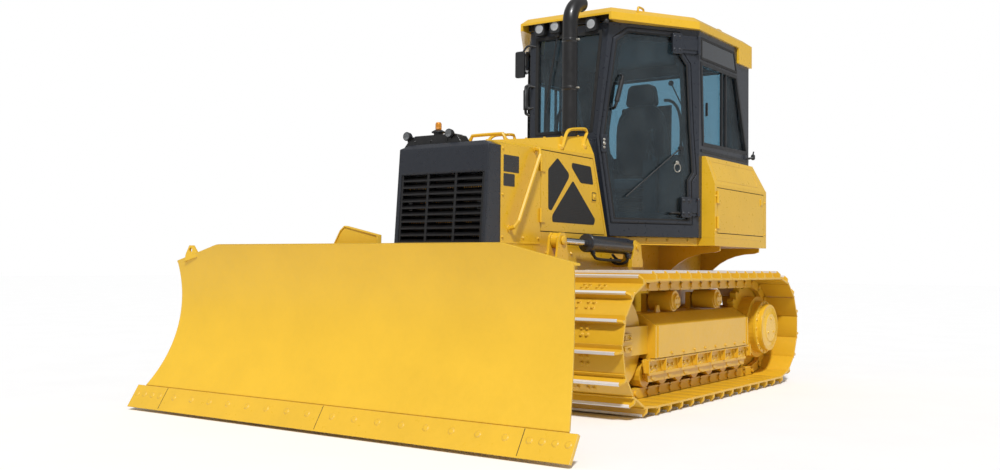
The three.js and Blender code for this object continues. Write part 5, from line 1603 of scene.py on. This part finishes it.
    def windscreen_wiper(self) -> Shape:
        """The windscreen's wiper."""
        shape = Shape()
        a = Vector((self.front(2630) + 14, -90, 2630))
        b = Vector((self.front(2160) + 10, -150, 2160))
        shape.round(a, b, 6, sides=10)
        lean = Vector((self.front(2390) - self.front(2160), 20, 230))
        shape.round(b + lean, b - lean * 0.5, 4.5, sides=8)
        return shape.turning(a - X_AXIS * 14, a + X_AXIS * 14, [(0, 22), (0.8, 20), (1, 14)], 20)

    def side_window_trim(self) -> Shape:
        """Black frames of the side window: a fixed upper light over a sliding lower one."""
        outline = [(-1790, 2442), (-2015, 1846), (-1135, 1832), (-1099, 2440)]
        levels = (762, 771, 771, 748)
        shape = self.ring_frame(outline, -12, 14, lambda p, k: Vector((p[0], levels[k], p[1])))
        for x in (-1500, -1580):
            shape.box((x - 9, 750, 1852), (x + 9, 768, 2430))
        return shape.box((-1190, 766, 2050), (-1176, 782, 2150))

    def upper_light(self) -> tuple[Shape, Shape]:
        """The fixed light over the side window: its dark pane and the rubber round it."""
        outline = [(-1735, 2628), (-1788, 2480), (-1101, 2478), (-1100, 2628)]
        levels = (762, 771, 771, 762)
        rubber = self.ring_frame(outline, -9, 9, lambda p, k: Vector((p[0], levels[k], p[1])))
        return Shape().slab_y(outline, 763, 767), rubber

    def rear_trim(self) -> Shape:
        """Rear window rubber, wiper, lamps bar and grab bars."""
        levels = (-2074, -2066, -2060, -2074)
        corners = rectangle((-560, 1850), (560, 2550))
        shape = self.ring_frame(corners, -10, 18, lambda p, k: Vector((levels[k], *p)))
        shape.round((-2076, 60, 2500), (-2076, 250, 2120), 6, sides=10)
        shape.round((-2078, 170, 2330), (-2078, 330, 1960), 4.5, sides=8)
        return shape.turning((-2068, 60, 2500), (-2086, 60, 2500), [(0, 24), (0.8, 22), (1, 16)], 20)

    def roof_trim(self) -> Shape:
        """The roof's lifting loops, rain rail and bolts."""
        shape = Shape()
        for x, y in ((-640, 490), (-1620, 690), (-1620, -690), (-640, -490)):
            profile = ((-46, 2748), (-44, 2786), (-30, 2798), (30, 2798), (44, 2786), (46, 2748))
            shape.tube([(x + dx, y, z) for dx, z in profile], 8, sides=10)
        return shape

    def roof_header(self) -> Shape:
        """The dark lamp rail in the hollow under the roof's front lip: a black plate that is partly the cab's
        dark header and partly painted shade over the roof's face behind the lamps.
        """
        shape = Shape().box((-470, -362, 2690), (-448, 362, 2754))
        return shape.bolts([(-448, y, 2722) for y in (-330, 60, 330)], X_AXIS, 7, 5)

    def roof_lamps(self) -> tuple[Shape, Shape]:
        """The three front work lamps under the roof's edge and two at the rear: shells and lenses."""
        shells, lenses = Shape(), Shape()
        for y, z in ((-231, 2682), (-97, 2688), (213, 2667)):
            shells.slab_x(soft_square(y, z, 43, 50, 20), -452, -388)
            shells.box((-462, y - 8, z + 30), (-420, y + 8, z + 62))
            lenses.turning((-390, y, z), (-383, y, z), [(0, 34), (0.5, 33), (1, 22)], 32)
        for y in (-560, 560):
            shells.slab_x(soft_square(y, 2624, 50, 30, 14), -2098, -2062)
            lenses.slab_x(soft_square(y, 2624, 42, 22, 10), -2102, -2097)
        return shells, lenses

    def outside_fittings(self) -> Shape:
        """Small black fittings: lamp studs, the right side's mirror arm and the rear latch."""
        shape = Shape().round(self.wall.at(30, -10, 2668), self.wall.at(30, 40, 2668), 8, sides=12)
        stud = [(0, 10), (0.3, 17), (0.8, 15), (1, 8)]
        shape.turning(self.wall.at(30, 38, 2668), self.wall.at(30, 62, 2668), stud, 20)
        shape.tube([(-2030, 762, 1800), (-2040, 792, 1806), (-2060, 820, 1812)], 9, sides=10)
        shape.turning((-2060, 806, 1792), (-2060, 806, 1838), [(0, 10), (0.2, 17), (0.8, 17), (1, 10)], 20)
        shape.round((-2060, 806, 1838), (-2060, 812, 1862), 6, sides=10)
        return shape.slab_y([(-1098, 1770), (-1098, 1792), (-2050, 1792), (-2050, 1770)], 762, 772)

    def mirror(self) -> tuple[Shape, Shape]:
        """The outside mirror on the cab's front right post: its shell and its glass."""
        shell, glass = Shape(), Shape()
        shell.tube([(-436, -280, 2560), (-410, -340, 2570), (-392, -372, 2530)], 8, sides=10)
        shell.slab_x(soft_square(-400, 2430, 40, 100, 16), -404, -382)
        glass.slab_x(soft_square(-400, 2430, 32, 92, 12), -408, -403)
        grip = [(-412, -276, 2250), (-378, -318, 2244), (-376, -322, 2100), (-402, -270, 2092)]
        shell.tube(grip, 10, sides=10)
        return shell, glass

    def build(self) -> None:
        """Builds the cab's pieces."""
        door = body_of("cab_door")
        build_pair(self.door_seal(), "door_seal_rubber", RUBBER, door, bevel=0.8)
        build_pair(self.door_bead(), "door_bead", SLATE, door, bevel=1.2)
        build_pair(self.glass_band(), "door_glass_band", BAND, door, bevel=0)
        build_pair(self.hinge_boxes(), "door_hinge_covers", SLATE, door, bevel=1.5)
        build_pair(self.door_handle(), "door_grab_bars", PLASTIC, door, bevel=0.8)
        build_pair(self.door_lock(), "door_lock", ZINC, door, bevel=0.8)
        build_pair(self.door_catch(), "door_catch", SLATE, door, bevel=2)
        build_pair(self.door_wiper(), "door_wiper", PLASTIC, door, bevel=0.5)
        build_pair(self.shut_line(), "door_gasket", RUBBER, bevel=0)
        build_pair(self.side_window_trim(), "side_window_trim", PLASTIC, bevel=1)
        pane, rubber = self.upper_light()
        build_pair(pane, "upper_light_pane", DARK_GLASS, bevel=0.8)
        build_pair(rubber, "upper_light_rubber", RUBBER, bevel=1)
        self.windscreen_trim().build("windscreen_rubber", RUBBER, bevel=1)
        self.windscreen_wiper().build("windscreen_wiper", PLASTIC, bevel=0.5)
        self.rear_trim().build("rear_window_trim", RUBBER, bevel=1)
        self.roof_trim().build("roof_loops", YELLOW, bevel=1.5)
        # Black plate behind the roof lamps: painted shade over the roof's front face, partly the cab's dark
        # header.
        self.roof_header().build("roof_lamp_rail", BLACK, bevel=1.5)
        shells, lenses = self.roof_lamps()
        shells.build("roof_lamp_shells", PLASTIC, bevel=2)
        lenses.build("roof_lamp_lenses", LAMP, bevel=1.5)
        self.outside_fittings().build("cab_outside_fittings", PLASTIC, bevel=1)
        shell, glass = self.mirror()
        shell.build("mirror_shell", PLASTIC, bevel=2)
        glass.build("mirror_glass", MIRROR, bevel=0.5)
        paint_node("cab_frame", SLATE)
        paint_node("cab_roof", YELLOW)
        paint_pair("cab_door", SLATE)
        paint_pair("door_glass", GLASS)
        paint_pair("side_window", GLASS)
        paint_node("windscreen", GLASS)
        paint_node("rear_window", GLASS)


@dataclass
class Interior:
    """Seat, levers, console dress and the cab's lining."""

    floor_z: float = 1165
    seat_x: float = -1480
    shoulder_taper: float = 0.24

    def cushion(self, name: str, low: Vector, high: Vector, crown: Vector, node: str) -> None:
        """One padded piece in place of a plain CAD cushion.

        Args:
            name: The piece's name.
            low: Its lowest corner.
            high: Its highest corner.
            crown: The way its worn face looks, which bulges a little.
            node: The CAD node that it replaces.
        """
        size = high - low
        centre = (low + high) / 2
        tool = bmesh.new()
        bmesh.ops.create_cube(tool, size=1.0)
        bmesh.ops.subdivide_edges(tool, edges=tool.edges, cuts=11, use_grid_fill=True)
        for vert in tool.verts:
            p = vert.co * 2
            x4, y4, z4 = (abs(c) ** 4 for c in p)
            squeeze = 1 - 0.10 * (x4 * y4 + y4 * z4 + x4 * z4)
            facing = p.dot(crown)
            side = p - crown * facing
            reach = max(abs(side.x), abs(side.y), abs(side.z))
            groove = 0.0
            if facing > 0.85:
                groove = -0.05 * math.exp(-((abs(side.y) - 0.52) / 0.035) ** 2)
                groove += -0.04 * math.exp(-((side.x + side.z - 0.1) / 0.04) ** 2) * (abs(side.y) < 0.52)
            bulge = max(0.0, facing) * (0.10 * (1 - reach ** 2) + groove)
            puff = crown * (bulge - 0.024 * (facing > 0.85))
            shaped = Vector(c * squeeze * 0.95 for c in p) + puff
            if crown.x > 0.5:
                shaped.y *= 1 - self.shoulder_taper * max(0.0, p.z) ** 3
            vert.co = Vector((centre[i] + shaped[i] * size[i] / 2) * MM for i in range(3))
        mesh = bpy.data.meshes.new(name)
        for face in tool.faces:
            face.smooth = True
        tool.to_mesh(mesh)
        tool.free()
        mesh.materials.append(CLOTH.material())
        made = add_object(name, mesh)
        modifier = made.modifiers.new("soft", "SUBSURF")
        modifier.levels = modifier.render_levels = 1
        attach(made, Body.CHASSIS.value)
        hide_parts(node)

    def seat_shell(self) -> Shape:
        """The seat's plastic shell, headrest posts, slides and bellows."""
        shape = Shape()
        low, high = in_mm("seat_back")
        shell = [(low.x - 26, low.z - 40), (low.x - 4, low.z - 40), (low.x - 4, high.z - 30),
                 (low.x - 40, high.z - 10)]
        shape.slab_y(rounded_outline(shell, 10), low.y + 10, high.y - 10)
        for i in range(7):
            z = self.floor_z + 122 + i * 22
            shape.box((self.seat_x - 150 + 8 * (i % 2), -150 + 8 * (i % 2), z),
                      (self.seat_x + 150 - 8 * (i % 2), 150 - 8 * (i % 2), z + 20))
        for y in (-236, 236):
            arm = [(self.seat_x - 190, self.floor_z + 350), (self.seat_x + 60, self.floor_z + 350),
                   (self.seat_x - 150, self.floor_z + 450)]
            shape.slab_y(rounded_outline(arm, 14), y - 8, y + 8)
        return shape

    def levers(self) -> Shape:
        """The two joysticks, small levers and the display."""
        shape = Shape()
        console_top = self.floor_z + 560
        for y in (-345, 345):
            foot = Vector((self.seat_x + 320, y, console_top))
            shape.turning(foot, foot + Z_AXIS * 46, [(0, 46), (0.3, 40), (0.6, 28), (1, 14)], 24)
            stem = [foot + Z_AXIS * 30, foot + Vector((6, 0, 90)), foot + Vector((18, 0, 150))]
            shape.tube(stem, 9, sides=12)
            shape.turning(foot + Vector((16, 0, 138)), foot + Vector((34, 0, 252)),
                          [(0, 15), (0.2, 24), (0.6, 22), (0.85, 28), (1, 14)], 20)
            rest = [(self.seat_x - 110, console_top + 4), (self.seat_x + 210, console_top + 4),
                    (self.seat_x + 210, console_top + 44), (self.seat_x - 110, console_top + 44)]
            shape.slab_y(rounded_outline(rest, 16), y - 48, y + 48)
        for i in range(3):
            foot = Vector((self.seat_x + 385, 310 + 26 * i, console_top - 6))
            shape.round(foot, foot + Vector((0, 0, 60)), 5, sides=10)
            shape.round(foot + Vector((0, 0, 52)), foot + Vector((0, 0, 80)), 9, sides=14)
        screen = [(x, self.floor_z + z) for x, z in ((-590, 560), (-630, 590), (-655, 740), (-628, 746))]
        return shape.slab_y(rounded_outline(screen, 10), 62, 206)

    def lining(self) -> Shape:
        """Roof lining, floor mat ribs, rear posts' trim and the rollover bars."""
        shape = Shape()
        roof = [(-1990, -640), (-1110, -640), (-640, -330), (-640, 330), (-1110, 640), (-1990, 640)]
        shape.slab_z(roof, 2640, 2668)
        for i in range(9):
            shape.box((-1080 + 38 * i, -250, 1186), (-1062 + 38 * i, 50, 1191))
        for y in (-650, 650):
            shape.tube([(-1170, y, 1240), (-1170, y * 0.99, 2000), (-1180, y * 0.98, 2630)], 26, sides=14)
            rear = y * 0.98
            shape.tube([(-1985, rear, 1780), (-1985, rear, 2100), (-1975, rear, 2630)], 26, sides=14)
        return shape

    def box_lining(self) -> Shape:
        """Dark panels over the side boxes where they reach into the cab."""
        shape = Shape().box((-1113, 412, self.floor_z), (-1101, 690, 1758))
        shape.box((-2000, 412, self.floor_z), (-1101, 424, 1758))
        shape.box((-2000, 412, 1748), (-1101, 690, 1760))
        for i in range(6):
            shape.box((-1850 + 110 * i, 406, 1500), (-1800 + 110 * i, 413, 1640))
        return shape.both()

    def headrest(self) -> Shape:
        """The headrest on its two posts, over the seat's back."""
        low, high = in_mm("seat_back")
        x = (low.x + high.x) / 2
        corners = [(-142, high.z - 26), (142, high.z - 26), (112, high.z + 158), (-112, high.z + 158)]
        return Shape().slab_x(rounded_outline(corners, 52, 6), x - 50, x + 36)

    def cab_hoop(self) -> Shape:
        """The bent grab bar by the rear post and the small drinks bin beside it."""
        shape = Shape()
        hoop = ((-1190, 560, 1760), (-1190, 560, 2000), (-1176, 540, 2120), (-1150, 500, 2180),
                (-1120, 450, 2190))
        for g in (1, -1):
            shape.tube([(x, g * y, z) for x, y, z in hoop], 12, sides=10)
        return shape.slab_z(rounded_outline(rectangle((-1360, 510), (-1240, 610)), 18), 1760, 1840)

    def build(self) -> None:
        """Builds the inside of the cab."""
        low, high = in_mm("seat_cushion")
        self.cushion("seat_pad", low, high, Z_AXIS, "seat_cushion")
        low, high = in_mm("seat_back")
        self.cushion("seat_back_pad", low, high, X_AXIS, "seat_back")
        self.seat_shell().build("seat_shell", PLASTIC, bevel=2)
        self.levers().build("control_levers", PLASTIC, bevel=1)
        self.lining().build("cab_lining", TRIM, bevel=1)
        self.box_lining().build("box_lining", TRIM, bevel=2)
        self.headrest().build("seat_headrest", CLOTH, bevel=14, segments=4)
        self.cab_hoop().build("cab_grab_bars", PLASTIC, bevel=1)
        paint_node("seat_base", PLASTIC)
        paint_node("operator_controls", TRIM)


# ------------------------------------------------------------------ side boxes and chassis
@dataclass
class BoxDress:
    """Latches, seams and caps of the rear side boxes."""

    face_y: float = 870
    door_low: tuple[float, float] = (-2137, 1160)
    door_high: tuple[float, float] = (-1162, 1505)
    latch_at: tuple[float, float] = (-2080, 1440)

    def fittings(self) -> Shape:
        """The door's latch and finger pull."""
        shape = Shape()
        for half_x, half_z, radius, low, high in ((26, 30, 7, -1, 5), (18, 22, 5, 3, 8)):
            outline = soft_square(*self.latch_at, half_x, half_z, radius)
            shape.slab_y(outline, self.face_y + low, self.face_y + high)
        return shape

    def seams(self) -> Shape:
        """The dark shut line round the door."""
        shape = Shape()
        (rear, bottom), (front, top), width = self.door_low, self.door_high, 4.4
        lines = [(rear, bottom, front, bottom + width), (rear, top - width, front, top),
                 (rear, bottom, rear + width, top), (front - width, bottom, front, top)]
        for x0, z0, x1, z1 in lines:
            shape.box((x0, self.face_y - 24, z0), (x1, self.face_y - 8, z1))
        return shape

    def caps(self) -> Shape:
        """The filler cap, the sloped lid's bead and the corner bolts."""
        shape = Shape()
        slope = Vector((0, 793 - self.face_y, 1740 - 1530)).normalized()
        normal = Vector((0, slope.z, -slope.y))
        base = Vector((0, self.face_y, 1530))
        outline = rounded_outline([(-2030, 30), (-1170, 30), (-1170, 196), (-2060, 196)], 14)
        inner = rounded_outline([(-2020, 42), (-1182, 42), (-1182, 184), (-2044, 184)], 12)
        rings = []
        for o, i in zip(outline, inner):
            far = base + X_AXIS * o[0] + slope * o[1]
            near = base + X_AXIS * i[0] + slope * i[1]
            rings.append([far - normal, far + normal * 2, near + normal * 2, near - normal])
        shape.rings(rings, loop=True)
        shape.bolts([(x, self.face_y, z) for x in (-1142, -2160) for z in (1180, 1440)], Y_AXIS, 8, 5)
        return shape.turning((-1700, 600, 1738), (-1700, 600, 1744), [(0, 52), (0.7, 50), (1, 44)], 32)

    def build(self) -> None:
        """Builds both boxes' pieces."""
        door = body_of("side_box_door")
        build_pair(self.fittings(), "box_latch", YELLOW, door, bevel=1)
        build_pair(self.seams(), "box_seam", RUBBER, bevel=0)
        build_pair(self.caps(), "box_fittings", YELLOW, bevel=0.8)
        paint_pair("side_box", YELLOW)
        paint_pair("side_box_door", YELLOW)


@dataclass
class ChassisDress:
    """Brackets, hoses, steps, bolts and rear plates on the main frame and deck."""

    def bolts(self) -> Shape:
        """Rows of bolts on the frame's sides, belly and rear."""
        shape = Shape()
        for x in range(-1900, 900, 200):
            shape.bolt((x, 350, 380), Y_AXIS, 11, 7)
        for x in range(100, 900, 160):
            shape.bolt((x, 350, 990), Y_AXIS, 10, 6)
        for x in range(-1950, 900, 260):
            shape.bolt((x, 300, 330), -Z_AXIS, 11, 7)
            shape.bolt((x, 90, 330), -Z_AXIS, 11, 7)
        for z in (480, 640, 800, 960):
            shape.bolt((-2050, 300, z), -X_AXIS, 12, 8)
        return shape.both()

    def rear_plate(self) -> Shape:
        """Raised covers on the rear of the frame and the deck's rear lip."""
        shape = Shape()
        shape.slab_x(soft_square(0, 810, 240, 170, 40), -2062, -2048)
        shape.slab_x(soft_square(0, 810, 160, 110, 30), -2070, -2060)
        for i in range(8):
            shape.box((-2078, -130, 722 + 24 * i), (-2068, 130, 732 + 24 * i))
        shape.slab_y([(-2050, 600), (-2050, 420), (-2130, 420), (-2150, 560)], -90, -72)
        return shape.slab_y([(-2050, 600), (-2050, 420), (-2130, 420), (-2150, 560)], 72, 90)

    def box_brackets(self) -> Shape:
        """Curved brackets that carry the rear side boxes from the frame."""
        shape = Shape()
        for x in (-1260, -2070):
            points = [(348, 700), (348, 1064), (858, 1064), (858, 1030)]
            centre = Vector((858, 700))
            for i in range(9):
                angle = math.pi / 2 + (math.pi / 2.1) * i / 8
                points.append((centre.x - 40 + 440 * math.cos(angle), centre.y + 318 * math.sin(angle)))
            edge = [(y, min(z, 1030)) for y, z in points[3:]]
            shape.slab_x(points[:3] + edge, x, x + 18)
        return shape.both()

    def deck_front(self) -> Shape:
        """Side skirts of the deck below the cab, with their bolts, and the steps."""
        shape = Shape()
        front, corner = Vector((-535, 350, 0)), Vector((-1095, 735, 0))
        along = (corner - front).normalized()
        out = along.cross(Z_AXIS)
        length = (corner - front).length
        skirt = [(30, 1080), (length - 30, 1080), (length - 30, 1120), (30, 1120)]
        shape.prism(skirt, 8, front + out * -2, along, Z_AXIS)
        for i in range(4):
            spot = front + along * (80 + (length - 160) * i / 3) + out * 6 + Z_AXIS * 1102
            shape.bolt(spot, out, 8, 5)
        return shape.both()

    def hoses(self) -> Shape:
        """The left lift cylinder's two hoses, from its ports in towards the frame."""
        shape = Shape()
        shape.tube([(48, 495, 977), (8, 497, 956), (-150, 492, 948), (-330, 486, 946), (-420, 440, 944),
                    (-450, 392, 966), (-455, 366, 992)], 10, sides=12)
        shape.tube([(-446, 495, 966), (-448, 482, 938), (-438, 432, 922), (-424, 388, 936), (-420, 366, 962)],
                   10, sides=12)
        return shape

    def build(self) -> None:
        """Builds the chassis pieces."""
        self.bolts().build("frame_bolts", YELLOW, bevel=0)
        self.rear_plate().build("rear_covers", YELLOW, bevel=2)
        self.box_brackets().build("box_brackets", YELLOW, bevel=2)
        self.deck_front().build("deck_skirts", YELLOW, bevel=1.5)
        build_pair(self.hoses(), "lift_hoses", RUBBER, body_of("lift_barrel"), bevel=0)
        for node in ("main_frame", "deck"):
            paint_node(node, YELLOW)
        paint_node("engine_block", ENGINE)


# ------------------------------------------------------------------ studio
@dataclass
class Studio:
    """Floor, lights and the main camera, low in front of the machine's left corner."""

    eye: tuple[float, float, float] = (6.2235, 3.960, 0.900)
    forward: tuple[float, float, float] = (-0.8246, -0.5650, 0.02968)
    up: tuple[float, float, float] = (0.0295, 0.00944, 0.99952)
    lens: float = 37.72
    ambient: float = 0.36
    sun: float = 3.1

    def camera(self) -> None:
        """Places the camera."""
        data = bpy.data.cameras.new("camera")
        data.lens = self.lens
        data.sensor_width = 36.0
        data.dof.use_dof = False
        made = add_object("camera", data)
        forward = Vector(self.forward).normalized()
        right = forward.cross(Vector(self.up)).normalized()
        upward = right.cross(forward)
        turn = Matrix((right, upward, -forward)).transposed().to_4x4()
        made.matrix_world = Matrix.Translation(Vector(self.eye)) @ turn
        bpy.context.scene.camera = made

    def floor(self) -> None:
        """A plain pale floor."""
        mesh = bpy.data.meshes.new("floor")
        reach = 60.0
        corners = rectangle((-reach, -reach), (reach, reach))
        mesh.from_pydata([(x, y, -0.001) for x, y in corners], [], [(0, 1, 2, 3)])
        graph = Graph("pale_floor")
        tone = graph.mix(graph.ramp(graph.noise(1.5, 3), 0.3, 0.7), (0.93, 0.93, 0.93), (0.95, 0.95, 0.95))
        mesh.materials.append(graph.surface(tone, 0.9))
        add_object("floor", mesh)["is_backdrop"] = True

    def lights(self) -> None:
        """A soft sun from the front left, and a white sky."""
        data = bpy.data.lights.new("sun", "SUN")
        data.energy = self.sun
        data.angle = math.radians(6)
        made = add_object("sun", data)
        towards = Vector((-0.66, -0.50, -0.95))
        made.rotation_euler = towards.to_track_quat("-Z", "Y").to_euler()
        world = bpy.data.worlds.new("sky")
        bpy.context.scene.world = world
        world.use_nodes = True
        tree = world.node_tree
        tree.nodes.clear()
        output = tree.nodes.new("ShaderNodeOutputWorld")
        mix = tree.nodes.new("ShaderNodeMixShader")
        for slot, strength in ((1, self.ambient), (2, 1.0)):
            background = tree.nodes.new("ShaderNodeBackground")
            background.inputs[0].default_value = (1.0, 1.0, 1.0, 1.0)
            background.inputs[1].default_value = strength
            tree.links.new(background.outputs[0], mix.inputs[slot])
        path = tree.nodes.new("ShaderNodeLightPath")
        tree.links.new(path.outputs["Is Camera Ray"], mix.inputs[0])
        tree.links.new(mix.outputs[0], output.inputs[0])

    def build(self) -> None:
        """Sets up the whole studio."""
        self.camera()
        self.floor()
        self.lights()
        bpy.context.scene.view_settings.view_transform = "Standard"


def write_sizes(cad_box: object, visual_box: object) -> None:
    plain = lambda box: [[float(c) for c in corner] for corner in box]
    {"cad": plain(cad_box), "visual": plain(visual_box)}


def main() -> None:
    """Builds every sub-assembly in order."""
    cad_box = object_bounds()
    steps = (
        Studio().build, Tracks().build, TrackFrames().build, BladeDress().build, PushGear().build,
        build_cylinders, HoodDress().build, RadiatorDress().build, Exhaust().build, CabDress().build,
        Interior().build, BoxDress().build, ChassisDress().build,
    )
    for step in steps:
        step()
    write_sizes(cad_box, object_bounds())


if __name__ == "__main__":
    main()
